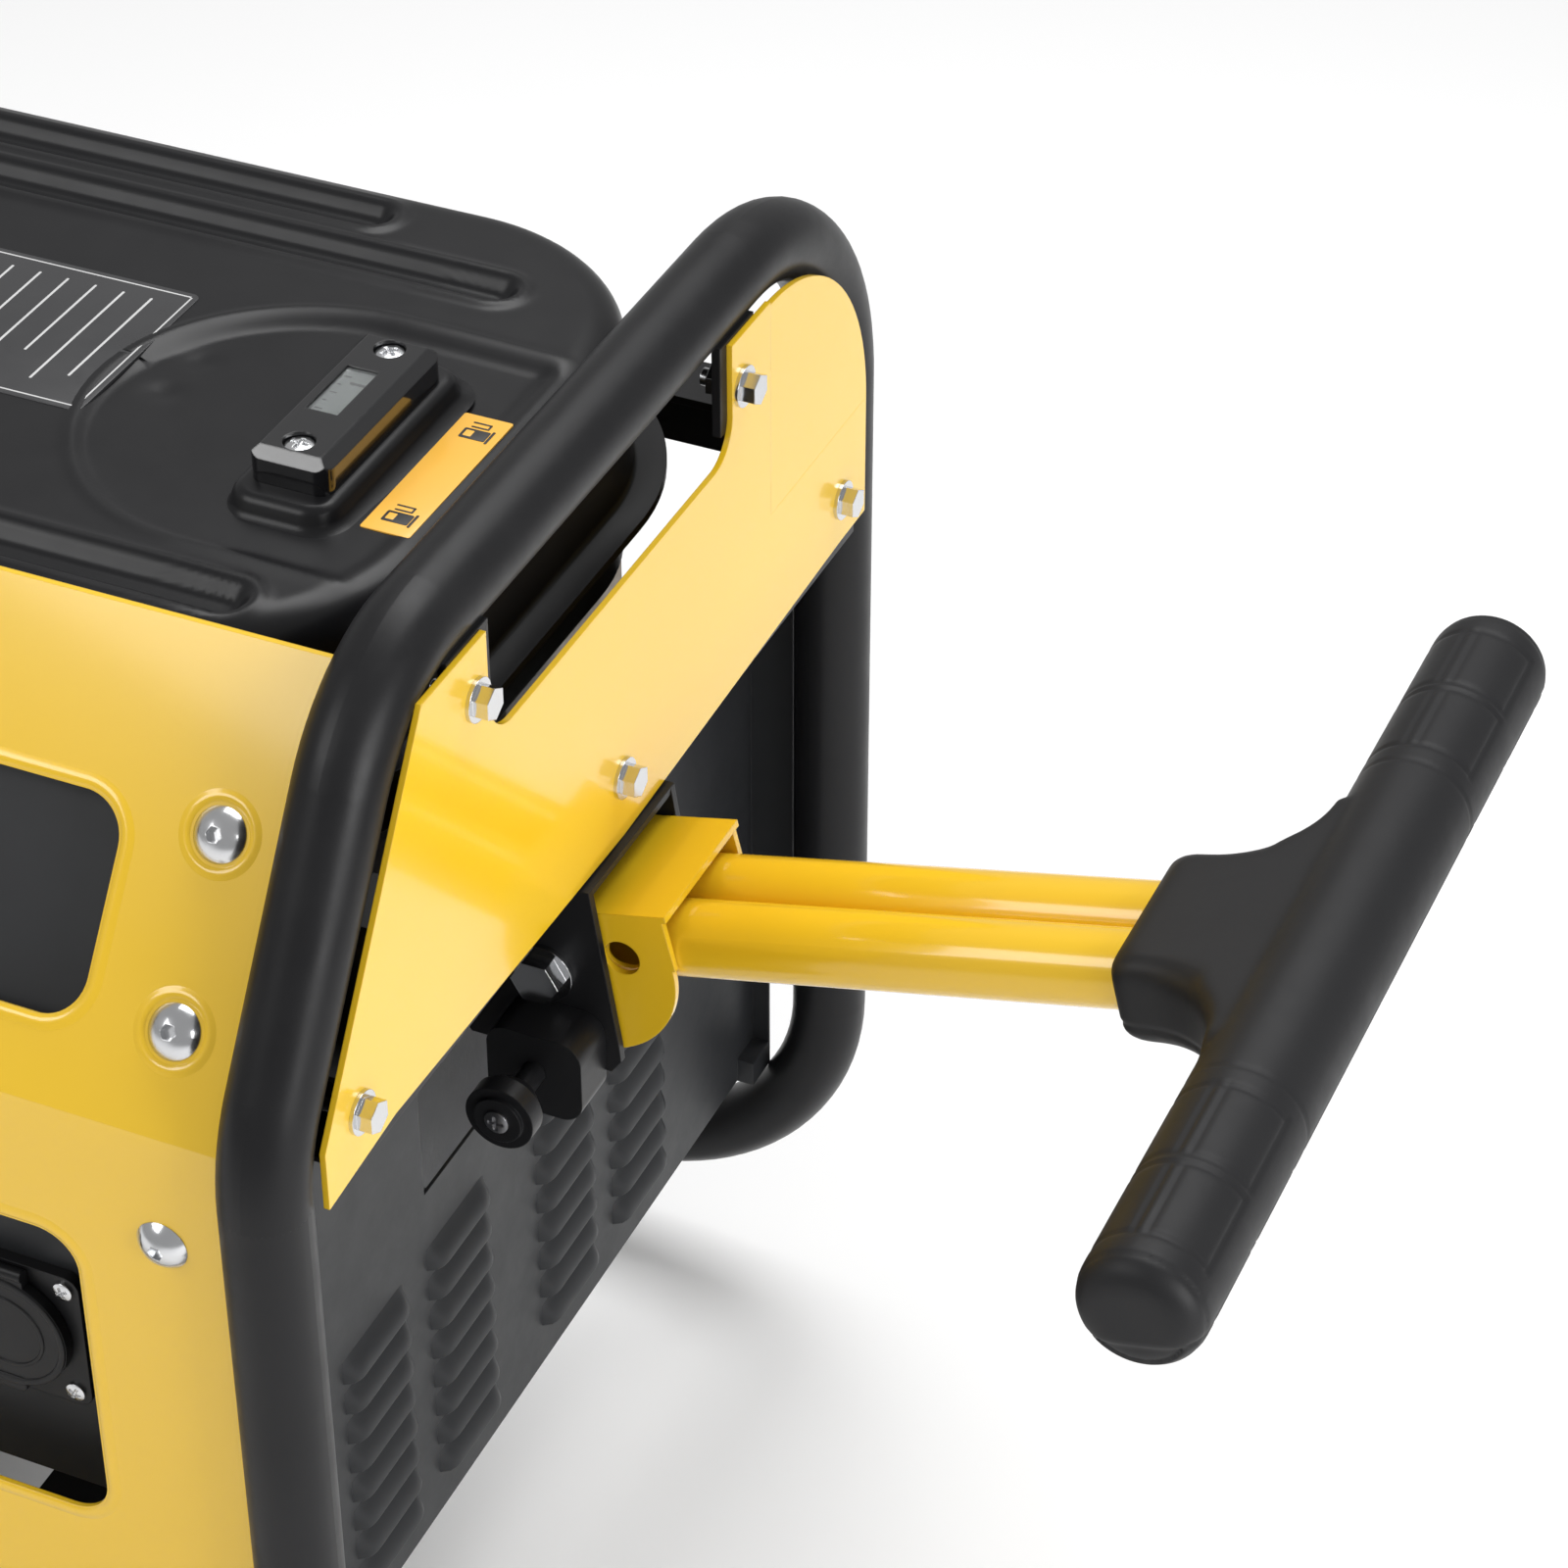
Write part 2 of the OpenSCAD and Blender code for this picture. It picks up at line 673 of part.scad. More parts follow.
// welded posts for the two feet and plates for the axle
module stand_brackets() {
    color("#17181a") {
        for (s = [-1, 1]) difference() {
            union() {
                box(foot_x - 22, foot_x + 22, s * leg_y - 16, s * leg_y + 16, 22, 26);
                box(foot_x - 22, foot_x + 22, s * leg_y - 3, s * leg_y + 3, 24, rail_z);
            }
            rod_x(tube_r, foot_x - 30, foot_x + 30, s * leg_y, rail_z);
            rod_z(3.2, 20, 30, foot_x - 14, s * leg_y - 9);
            rod_z(3.2, 20, 30, foot_x + 14, s * leg_y + 9);
        }
        for (s = [-1, 1]) difference() {
            along_y(s * leg_y - bracket_w / 2, s * leg_y + bracket_w / 2)
                rrect(axle_x - 24, axle_x + 24, rail_z - 2, wheel_d / 2 + 18, 8);
            rod_z(tube_r, rail_z + rail_bend, 400, hoop2_x, s * leg_y);
            translate([hoop2_x + rail_bend, s * leg_y, rail_z + rail_bend]) rotate([90, 0, 0]) rotate_extrude() translate([rail_bend, 0]) circle(tube_r);
            rod_x(tube_r, rail_x0, rail_x1, s * leg_y, rail_z);
            box(axle_x - 30, axle_x + 30, s * leg_y - 10, s * leg_y + 10, 0, rail_z + 4);
            rod_y(axle_d / 2 + run, s * leg_y - 10, s * leg_y + 10, axle_x, wheel_d / 2);
        }
    }
}

// rubber blocks under the handle end
module foot_pads() {
    color("#101010") for (s = [-1, 1]) difference() {
        rbox(foot_x - 24, foot_x + 24, s * leg_y - 19, s * leg_y + 19, 0, 22, 6);
        rod_z(3.2, 8, 30, foot_x - 14, s * leg_y - 9);
        rod_z(3.2, 8, 30, foot_x + 14, s * leg_y + 9);
    }
}

wheel_gap = 9;
wheel_y = frame_w / 2 + wheel_gap;
hub_w = wheel_w + 6;

// axle shared by the wheels, with a collar inside and a cap outside each hub
module axle() {
    end = wheel_y + hub_w;
    color("#b9bcc0") {
        rod_y(axle_d / 2, -end - 2, end + 2, axle_x, wheel_d / 2);
        for (s = [-1, 1]) {
            rod_y(axle_d / 2 + 4, min(s * (leg_y + 8), s * (wheel_y - 1)), max(s * (leg_y + 8), s * (wheel_y - 1)),
                axle_x, wheel_d / 2);
            rod_y(axle_d / 2 + 5, min(s * (end + 1), s * (end + 5)), max(s * (end + 1), s * (end + 5)), axle_x, wheel_d / 2);
        }
    }
}

rim_r = wheel_d / 2 - 27;

// solid of a wheel about its own axis, between radii
module wheel_tyre() {
    rotate_extrude($fn = 96) difference() {
        translate([wheel_d / 2 - 27, -wheel_w / 2]) rrect(0, 27, 0, wheel_w, 9);
        for (y = [-9, 0, 9]) translate([wheel_d / 2, y]) circle(2, $fn = 16);
    }
}

module wheel_rim() {
    spokes = 6;
    difference() {
        union() {
            rotate_extrude($fn = 96) {
                translate([rim_r - 6, -wheel_w / 2 + 4]) square([5.7, wheel_w - 8]);
                translate([axle_d / 2 + run, -hub_w / 2]) square([9, hub_w]);
            }
            for (i = [0 : spokes - 1]) rotate([0, 0, i * 360 / spokes])
                translate([axle_d / 2 + 6, -7, -6]) cube([rim_r - axle_d / 2 - 10, 14, 12]);
            translate([0, 0, -3]) cylinder(r = rim_r - 4, h = 6);
        }
        translate([0, 0, -hub_w]) cylinder(r = axle_d / 2 + run, h = 2 * hub_w);
    }
}

module at_wheel(s) {
    translate([axle_x, s * (wheel_y + hub_w / 2), wheel_d / 2]) rotate([90, 0, 0]) children();
}

module tyre_left() {
    color("#141414") at_wheel(1) wheel_tyre();
}

module tyre_right() {
    color("#141414") at_wheel(-1) wheel_tyre();
}

module rim_left() {
    color("#202124") at_wheel(1) wheel_rim();
}

module rim_right() {
    color("#202124") at_wheel(-1) wheel_rim();
}

neck_r = 34;

// tank body between two heights, g inside its outer skin
module tank_plan(g, z0, z1, inset) {
    r = tank_corner - g - inset;
    rbox(tank_x0 + g + inset, tank_x1 - g - inset, tank_y0 + g + inset, tank_y1 - g - inset, z0, z1, r);
}

// pressed top half with a stepped shoulder and the seam flange
module tank_upper_shell() {
    step = 5;
    color("#1b1c1e") difference() {
        union() {
            tank_plan(0, seam_z + 1.5, deck_z - 12, 0);
            tank_plan(0, deck_z - 12, deck_z - step, 2);
            tank_plan(0, deck_z - step, deck_z, 6);
            tank_plan(-flange_w, seam_z, seam_z + 1.5, 0);
            rbox(gauge_x - 18, gauge_x + 17, gauge_y - 46, gauge_y + 46, deck_z, deck_z + 6, 9);
        }
        tank_plan(tank_t, seam_z - 1, deck_z - 12 - tank_t, 0);
        tank_plan(tank_t, deck_z - 14 - tank_t, deck_z - tank_t, 6);
        rod_z(neck_r, deck_z - 5, deck_z + 5, cap_x, cap_y);
        for (x = bush_x, y = bush_y) rod_z(3.2, seam_z - 5, seam_z + 5, x, y);
    }
}

bush_y = [tank_y0 - 7, tank_y1 + 7];

// pressed bottom half
module tank_lower_shell() {
    color("#1b1c1e") difference() {
        union() {
            tank_plan(0, pan_z + 6, seam_z - 1.5, 4);
            tank_plan(0, pan_z, pan_z + 6, 12);
            tank_plan(-flange_w, seam_z - 1.5, seam_z, 0);
        }
        tank_plan(tank_t, pan_z + tank_t + 6, seam_z + 1, 4);
        tank_plan(tank_t, pan_z + tank_t, pan_z + tank_t + 7, 12);
        for (x = bush_x, y = bush_y) rod_z(3.2, seam_z - 5, seam_z + 5, x, y);
        rod_z(6, pan_z - 1, pan_z + 8, tap_x, tap_y);
    }
}

// rubber grommets and bolts that hold the flange to the rails
module tank_bushes() {
    color("#0f0f10") for (x = bush_x, y = bush_y) {
        rod_z(7, seam_z + 1.5, seam_z + 5, x, y);
        rod_z(5.2, seam_z + 5, seam_z + 9, x, y);
        rod_z(3, seam_z - 12, seam_z + 5, x, y);
        rod_z(5.5, seam_z - 11, seam_z - 2 * rail_t, x, y);
        difference() {
            rod_z(6.5, seam_z - rail_t, seam_z - 1.5, x, y);
            rod_z(3, seam_z - rail_t - 1, seam_z, x, y);
        }
    }
}

// flared filler neck with its strainer cup
module filler_neck() {
    cup = 45;
    color("#b7babd") translate([cap_x, cap_y, 0]) difference() {
        union() {
            rod_z(neck_r - run, deck_z - cup, deck_z + 14, 0, 0);
            rod_z(neck_r + 7, deck_z, deck_z + 2, 0, 0);
        }
        rod_z(neck_r - 1.6, deck_z - cup + 1.6, deck_z + 15, 0, 0);
    }
}

// domed cap that turns on the neck
module fuel_cap() {
    skirt_r = cap_d / 2;
    grips = 24;
    color("#1c1d20") translate([cap_x, cap_y, deck_z]) difference() {
        union() {
            translate([0, 0, 4]) cylinder(r = skirt_r, h = 18, $fn = 96);
            translate([0, 0, 22]) cylinder(r1 = skirt_r, r2 = skirt_r - 8, h = 4);
        }
        translate([0, 0, 3]) cylinder(r = neck_r + 0.5, h = 13);
        for (i = [0 : grips - 1]) rotate([0, 0, i * 360 / grips])
            translate([skirt_r + 1.2, 0, 3]) cylinder(r = 2.4, h = 20, $fn = 16);
    }
}

gauge_z = deck_z + 6;

// section of a block with two chamfered upper edges
module chamfered(half, h, chamfer) {
    polygon([[-half, 0], [half, 0], [half, h - chamfer], [half - chamfer, h], [chamfer - half, h], [-half, h - chamfer]]);
}

// fuel gauge body on the tank's raised pad
module gauge_housing() {
    half_x = 14;
    half_y = 38;
    h = 12;
    color("#0b0b0c") translate([gauge_x, gauge_y, gauge_z]) difference() {
        intersection() {
            along_y(-half_y, half_y) chamfered(half_x, h, 3.5);
            along_x(-half_x, half_x) chamfered(half_y, h, 3.5);
            rbox(-half_x, half_x, -half_y, half_y, 0, h, 5);
        }
        box(-7.5, 3.5, -11.5, 15.5, h - 3, h + 1);
        for (y = [-29, 29]) rod_z(5.2, h - 2.5, h + 1, 0, y);
    }
}

tap_x = ex - 470;
tap_y = -60;
tap_z = pan_z - 22;

// fuel tap under the pan, with the hose spigot pointing to the engine
module fuel_tap() {
    color("#a7a9ac") {
        difference() {
            union() {
                rod_z(9, pan_z - 14, pan_z, tap_x, tap_y);
                box(tap_x - 10, tap_x + 10, tap_y - 12, tap_y + 12, tap_z - 10, tap_z + 10);
                rod_y(3.2, tap_y + 12, tap_y + 30, tap_x, tap_z);
            }
            rod_y(4, tap_y - 13, tap_y - 2, tap_x, tap_z);
        }
    }
}

module fuel_tap_lever() {
    color("#c0392b") {
        rod_y(4 - run, tap_y - 24, tap_y - 2.5, tap_x, tap_z);
        along_y(tap_y - 22, tap_y - 16) rrect(tap_x - 28, tap_x + 6, tap_z - 6, tap_z + 6, 5);
    }
}

carb_y = 142;
carb_z = crank_z + 105;
carb_x0 = ex - 440;
carb_x1 = ex - 392;

// petrol hose from the tap to the carburettor's inlet
module fuel_hose() {
    hose_r = 5;
    bore_r = 3.3;
    inlet = [ex - 418, carb_y - 38, carb_z];
    route = [[tap_x, tap_y + 13, tap_z], [tap_x, 60, tap_z], [inlet[0], 60, carb_z], [inlet[0], inlet[1] + 14, carb_z]];
    color("#2a2a2c") bent_tube(route, [28, 20], hose_r, hose_r - bore_r);
}

// crankcase casting with its feet, the bearing bores along X
module crankcase() {
    color("#8c8f93") difference() {
        union() {
            along_x(case_x0, case_x1) rrect(crank_y - 72, crank_y + 72, base_z + 8, crank_z + 72, 26);
            box(case_x0 + 4, case_x1 - 4, crank_y - 70, crank_y + 70, base_z, base_z + 14);
            rod_x(70, case_x1, case_x1 + 20, crank_y, crank_z);
            rod_x(34, case_x0 - 10, case_x0, crank_y, crank_z);
            translate([cyl_x, crank_y, crank_z]) rotate([-cyl_lean, 0, 0])
                translate([-42, -45, 0]) cube([84, 90, 92]);
            rod([dip_x, crank_y - 60, base_z + 40], [dip_x, crank_y - 92, base_z + 62], 13);
        }
        along_x(case_x0 + 8, case_x1 - 8) rrect(crank_y - 64, crank_y + 64, base_z + 22, crank_z + 64, 18);
        rod_x(crank_d / 2 + run, case_x0 - 20, case_x1 + 30, crank_y, crank_z);
        for (x = member_x, y = mount_y) rod_z(4, base_z - 1, base_z + 12, x, y);
        rod([dip_x, crank_y - 60, base_z + 40], [dip_x, crank_y - 95, base_z + 64.1], 8);
    }
}

dip_x = ex - 330;

// oil filler plug with its dipstick
module oil_dipstick() {
    mouth = [dip_x, crank_y - 92, base_z + 62];
    axis = unit([0, -32, 22]);
    color("#1d1d1f") {
        rod(mouth - axis * 30, mouth, 8 - run);
        rod(mouth + axis * 0.4, mouth + axis * 9, 15);
        rod(mouth, mouth + axis * 0.5, 7.9);
        rod(mouth + axis * 9, mouth + axis * 16, 8);
    }
}

module cylinder_frame() {
    translate([cyl_x, crank_y, crank_z]) rotate([-cyl_lean, 0, 0]) children();
}

fin_n = 6;
fin_pitch = 8;
fin_z0 = 94;
head_z0 = fin_z0 + fin_n * fin_pitch;

// finned barrel and head
module cylinder_barrel() {
    color("#9a9da1") cylinder_frame() {
        translate([-32, -36, 92]) cube([64, 72, head_z0 - 92 + 26]);
        for (i = [0 : fin_n - 1]) translate([-44, -46, fin_z0 + i * fin_pitch]) cube([88, 92, 3]);
        for (i = [0 : 2]) translate([-44, -46, head_z0 + i * fin_pitch]) cube([88, 92, 3.2]);
    }
}

// pressed cover over the valve gear, standing on the head
module rocker_cover() {
    color("#2a2b2e") cylinder_frame() translate([0, 0, head_z0 + 26]) {
        rbox(-34, 34, -36, 36, 0, 4, 8);
        rbox(-30, 30, -32, 32, 4, 24, 10);
    }
}

fan_r = 92;

// cowl around the flywheel fan
module fan_shroud() {
    wall = 2.5;
    color("#1c1d1f") difference() {
        union() {
            rod_x(fan_r + 8, shroud_x0, shroud_x1, crank_y, crank_z);
            box(shroud_x0, shroud_x1, crank_y - 60, crank_y + 60, base_z + 4, crank_z);
        }
        rod_x(fan_r + 8 - wall, shroud_x0 + wall, shroud_x1 + 1, crank_y, crank_z);
        rod_x(60, shroud_x0 - 1, shroud_x1, crank_y, crank_z);
    }
}

module flywheel() {
    blades = 16;
    color("#6f7276") difference() {
        union() {
            rod_x(82, shroud_x0 + 20, shroud_x0 + 36, crank_y, crank_z);
            rod_x(28, shroud_x0 + 8, shroud_x0 + 42, crank_y, crank_z);
            for (i = [0 : blades - 1]) translate([shroud_x0 + 6, crank_y, crank_z]) rotate([i * 360 / blades, 0, 0])
                translate([0, 50, -1.5]) cube([15, 28, 3]);
        }
        rod_x(crank_d / 2, shroud_x0, shroud_x1, crank_y, crank_z);
    }
}

rotor_gap = 1;

// crankshaft with the alternator's rotor on its tapered end
module crankshaft() {
    color("#7d8084") {
        rod_x(crank_d / 2, shroud_x0 + 2, ex - 92, crank_y, crank_z);
        difference() {
            rod_x(stator_bore - rotor_gap, stator_x0 + 16, stator_x1 - 16, crank_y, crank_z);
            for (a = [0, 180]) translate([0, crank_y, crank_z]) rotate([a, 0, 0])
                box(stator_x0, stator_x1, 26, 70, -14, 14);
        }
    }
}

recoil_y = -fan_r - 6;

// recoil starter on the shroud, with a guide for the rope's grip
module recoil_housing() {
    slots = 10;
    color("#1c1d1f") difference() {
        union() {
            rod_x(84, recoil_x0 + 14, shroud_x0, crank_y, crank_z);
            rod_x(58, recoil_x0, recoil_x0 + 14, crank_y, crank_z);
            box(recoil_x0 + 16, shroud_x0 - 4, crank_y - 100, crank_y - 60, crank_z - 14, crank_z + 14);
        }
        rod_x(80, recoil_x0 + 17, shroud_x0 + 1, crank_y, crank_z);
        for (i = [0 : slots - 1]) translate([0, crank_y, crank_z]) rotate([i * 360 / slots, 0, 0])
            translate([recoil_x0 + 5, 64, -4]) cube([40, 12, 8]);
        rod_y(5, crank_y - 101, crank_y - 59, recoil_x, crank_z);
    }
}

module recoil_grip() {
    x = recoil_x;
    y1 = crank_y - 100.4;
    color("#111111") {
        rod_y(4.6, y1, y1 + 20, x, crank_z);
        along_y(y1 - 20, y1) rrect(x - 9, x + 9, crank_z - 32, crank_z + 32, 8);
    }
}

filter_x0 = ex - 552;
filter_y0 = 98;
filter_y1 = leg_y - 14;
filter_z0 = crank_z + 86;
filter_z1 = pan_z - 6;
filter_split = filter_x0 + 40;

module air_filter_case() {
    color("#18191b") difference() {
        along_x(filter_split, carb_x0) rrect(filter_y0, filter_y1, filter_z0, filter_z1, 10);
        along_x(filter_split - 1, carb_x0 - 3) rrect(filter_y0 + 3, filter_y1 - 3, filter_z0 + 3, filter_z1 - 3, 8);
        rod_x(11, carb_x0 - 5, carb_x0 + 1, carb_y, carb_z);
    }
}

module air_filter_cover() {
    color("#18191b") difference() {
        along_x(filter_x0, filter_split) rrect(filter_y0, filter_y1, filter_z0, filter_z1, 10);
        along_x(filter_x0 + 3, filter_split + 1) rrect(filter_y0 + 3, filter_y1 - 3, filter_z0 + 3, filter_z1 - 3, 8);
    }
}

choke_z = carb_z + 16;

// carburettor between the head and the air filter
module carburettor() {
    color("#a9acb0") difference() {
        union() {
            box(carb_x0 + 6, carb_x1 - 2, carb_y - 20, carb_y + 20, carb_z - 18, carb_z + 20);
            rod_x(16, carb_x0, cyl_x - 44, carb_y, carb_z);
            rod_z(17, carb_z - 42, carb_z - 18, ex - 416, carb_y);
            rod_y(3.2, carb_y - 38, carb_y - 20, ex - 418, carb_z);
        }
        rod_x(11, carb_x0 - 1, cyl_x - 40, carb_y, carb_z);
        rod_z(2.5, choke_z - 2, choke_z + 10, ex - 424, carb_y);
    }
}

module choke_lever() {
    color("#2b2c2e") {
        rod_z(2.5 - run, choke_z - 1, choke_z + 8, ex - 424, carb_y);
        translate([ex - 424, carb_y, choke_z + 5]) linear_extrude(3) rrect(-5, 5, -34, 5, 4.5);
    }
}

muffler_x0 = ex - 285;
muffler_x1 = ex - 95;
muffler_y0 = 100;
muffler_y1 = leg_y - 12;
muffler_z0 = crank_z + 70;
muffler_z1 = pan_z - 14;
outlet_x = muffler_x1 - 35;
outlet_r = 11;

// silencer above the alternator, its outlet through the rear side
module muffler() {
    pipe_y = 148;
    pipe_z = muffler_z0 + 36;
    color("#5e6063") difference() {
        union() {
            along_x(muffler_x0, muffler_x1) rrect(muffler_y0, muffler_y1, muffler_z0, muffler_z1, 24);
            along_x(muffler_x0 + 60, muffler_x0 + 64) rrect(muffler_y0 - 3, muffler_y1 + 3, muffler_z0 - 3, muffler_z1 + 3, 26);
            rod_x(15, muffler_x0 - 16, muffler_x0 + 5, pipe_y, pipe_z);
            rod_y(outlet_r + 2, muffler_y1 - 4, muffler_y1 + 14, outlet_x, (muffler_z0 + muffler_z1) / 2);
        }
        along_x(muffler_x0 + 2, muffler_x1 - 2) rrect(muffler_y0 + 2, muffler_y1 - 2, muffler_z0 + 2, muffler_z1 - 2, 22);
        rod_x(12, muffler_x0 - 17, muffler_x0 + 6, pipe_y, pipe_z);
        rod_y(outlet_r, muffler_y1 - 6, muffler_y1 + 15, outlet_x, (muffler_z0 + muffler_z1) / 2);
    }
}

// rubber mounts with studs, under the engine and the alternator
module engine_mounts() {
    top = rail_top + member_h;
    color("#121212") for (x = member_x, y = mount_y) {
        rod_z(15, top, base_z, x, y);
        rod_z(3.9, top - 12, top, x, y);
        rod_z(3.9, base_z, base_z + 8, x, y);
    }
}

// laminated stator with its foot
module alternator_stator() {
    color("#55585c") difference() {
        union() {
            rod_x(stator_r, stator_x0, stator_x1, crank_y, crank_z);
            box(member_x[0] - 22, member_x[0] + 22, crank_y - 66, crank_y + 66, base_z, base_z + 30);
        }
        rod_x(stator_bore, stator_x0 - 1, stator_x1 + 1, crank_y, crank_z);
        for (y = mount_y) rod_z(4, base_z - 1, base_z + 12, member_x[0], y);
    }
}

// vented rear bell that holds the outer bearing
module alternator_end_bell() {
    vents = 8;
    bell_x1 = ex - 84;
    color("#8e9195") {
        difference() {
            union() {
                rod_x(stator_r, stator_x1, bell_x1 - 14, crank_y, crank_z);
                rod_x(stator_r - 18, bell_x1 - 14, bell_x1, crank_y, crank_z);
            }
            rod_x(stator_r - 8, stator_x1 - 1, bell_x1 - 18, crank_y, crank_z);
            rod_x(crank_d / 2 + run, stator_x1, bell_x1 - 6, crank_y, crank_z);
            for (i = [0 : vents - 1]) translate([0, crank_y, crank_z]) rotate([i * 360 / vents, 0, 0])
                translate([bell_x1 - 20, 34, -9]) cube([30, 30, 18]);
        }
        difference() {
            rod_x(stator_r, stator_x0 - 20, stator_x0, crank_y, crank_z);
            rod_x(stator_r - 14, stator_x0 - 21, stator_x0 + 1, crank_y, crank_z);
        }
    }
}

box_x0 = window_x0 - 12;
box_x1 = window_x1 + 12;

// bent black plate behind the windows that holds the switches and sockets
module control_face() {
    t = 2;
    ledge_lo = panel_kink - 8;
    ledge_hi = panel_kink - 5;
    color("#151617") {
        difference() {
            along_x(box_x0, box_x1) intersection() {
                bent_sheet(face_gap, t, panel_bottom + 20, window_hi + 14);
                translate([-500, ledge_hi + weld]) square([1000, 200]);
            }
            instrument_hole(0) square([23, 15], center = true);
            instrument_hole(1) circle(8);
        }
        box(box_x0, box_x1, panel_y + face_gap, panel_y + face_in + t, ledge_lo, ledge_hi);
        difference() {
            box(box_x0, box_x1, panel_y + face_in, panel_y + face_in + t, window2_lo - 12, ledge_lo - weld);
            for (i = [0 : socket_n - 1]) rod_y(21, panel_y, panel_y + 60, socket_x - i * socket_pitch, socket_z);
        }
        for (x = [window_x0 - 6, window_x1 + 6], z = [window2_lo + 20, window2_hi - 20])
            rod_y(4, panel_y + sheet_t, panel_y + face_in - weld, x, z);
    }
}

instrument_x = [window_x1 - 60, window_x1 - 110];
instrument_z = (window_lo + window_hi) / 2;

// a 2-D hole through the sloping face at instrument i
module instrument_hole(i) {
    instrument_frame(i) translate([0, 0, -10]) linear_extrude(20) children();
}

module instrument_frame(i) {
    lean = atan(lean_slope / 0.9);
    translate([instrument_x[i], face_y(instrument_z), instrument_z]) rotate([90 - lean, 0, 0])
        translate([0, 0, -face_gap]) children();
}

// rocker that starts and stops the engine
module engine_switch() {
    color("#7a1512") instrument_frame(0) difference() {
        union() {
            translate([-11, -7, -3]) cube([22, 14, 7]);
            rotate([0, 90, 0]) translate([0, 0, -11.2]) cylinder(r = 1.8, h = 22.4);
        }
        translate([0, 0, 12]) rotate([90, 0, 0]) translate([0, 0, -10]) cylinder(r = 9.5, h = 20);
    }
}

// push button that resets the circuit breaker
module breaker_button() {
    color("#1a1a1a") instrument_frame(1) {
        translate([0, 0, -3.5]) cylinder(r = 7.9, h = 5);
        translate([0, 0, 1.5]) cylinder(r = 6.5, h = 4);
    }
}

// closed tray behind the sockets
module control_box() {
    wall = 2;
    y0 = panel_y + face_in + 2;
    y1 = panel_y + 100;
    color("#141517") difference() {
        box(box_x0, box_x1, y0, y1, window2_lo - 12, panel_kink - 12);
        box(box_x0 + wall, box_x1 - wall, y0 - 1, y1 - wall, window2_lo - 12 + wall, panel_kink - 12 - wall);
    }
}

socket_face = panel_y + face_in;

// two mains sockets, each a flange with a round well and two contact sleeves
module sockets() {
    color("#1d1e20") for (i = [0 : socket_n - 1]) {
        x = socket_x - i * socket_pitch;
        difference() {
            union() {
                along_y(socket_face - 4, socket_face) rrect(x - socket_s / 2, x + socket_s / 2,
                    socket_z - socket_s / 2, socket_z + socket_s / 2, 5);
                rod_y(20.9, socket_face, socket_face + 22, x, socket_z);
            }
            rod_y(19.5, socket_face - 5, socket_face + 14, x, socket_z);
            for (d = [-9.5, 9.5]) rod_y(2.5, socket_face + 12, socket_face + 20, x + d, socket_z);
        }
    }
}

lid_hinge_z = socket_z + socket_s / 2 - 2;
lid_y = socket_face - 4;

// sprung lid over a socket, hinged along X at the top
module socket_lid(i) {
    x = socket_x - i * socket_pitch;
    color("#2b2c2f") {
        difference() {
            rod_y(22.5, lid_y - 4, lid_y - 0.4, x, socket_z);
            rod_y(20.5, lid_y - 2.5, lid_y, x, socket_z);
        }
        along_y(lid_y - 4, lid_y - 0.4) translate([x - 9, socket_z + 20]) square([18, lid_hinge_z - socket_z - 20]);
        rod_x(2.2, x - 9, x + 9, lid_y - 2.7, lid_hinge_z);
    }
}

module socket_lid_right() {
    socket_lid(0);
}

module socket_lid_left() {
    socket_lid(1);
}

earth_x = window_x0 + 40;
earth_z = window2_lo + 24;
earth_r = 3;

// earth stud with its seat nut on the face
module ground_terminal() {
    color("#c7a34a") {
        rod_y(earth_r, socket_face - 16, socket_face, earth_x, earth_z);
        translate([earth_x, socket_face - 5, earth_z]) rotate([-90, 0, 0]) cylinder(r = 6.2, h = 5, $fn = 6);
    }
}

end_hoop_handle();
end_hoop_wheel();
base_rails();
cross_members();
tank_rails();
end_plate_handle();
end_plate_wheel();
end_plate_bolts();
front_panel();
front_panel_bolts();
end_cover();
handle_bracket();
pivot_bolt();
lock_housing();
stand_brackets();
foot_pads();
axle();
tank_upper_shell();
tank_lower_shell();
tank_bushes();
filler_neck();
gauge_housing();
fuel_tap();
fuel_hose();
crankcase();
cylinder_barrel();
rocker_cover();
fan_shroud();
recoil_housing();
air_filter_case();
air_filter_cover();
carburettor();
muffler();
engine_mounts();
alternator_stator();
alternator_end_bell();
control_box();
control_face();
sockets();
ground_terminal();
handle_yoke();
handle_tubes();
grip_shell_upper();
grip_shell_lower();
lock_knob();
fuel_cap();
fuel_tap_lever();
choke_lever();
recoil_grip();
engine_switch();
breaker_button();
socket_lid_right();
socket_lid_left();
tyre_left();
rim_left();
tyre_right();
rim_right();
oil_dipstick();
crankshaft();
flywheel();
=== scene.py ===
"""Looks of a portable petrol generator with a folding T-handle, built around the CAD frame.

Lengths are in mm until mesh_piece() brings them to metres.
"""

import math

import bmesh
import bpy
from mathutils import Matrix, Vector


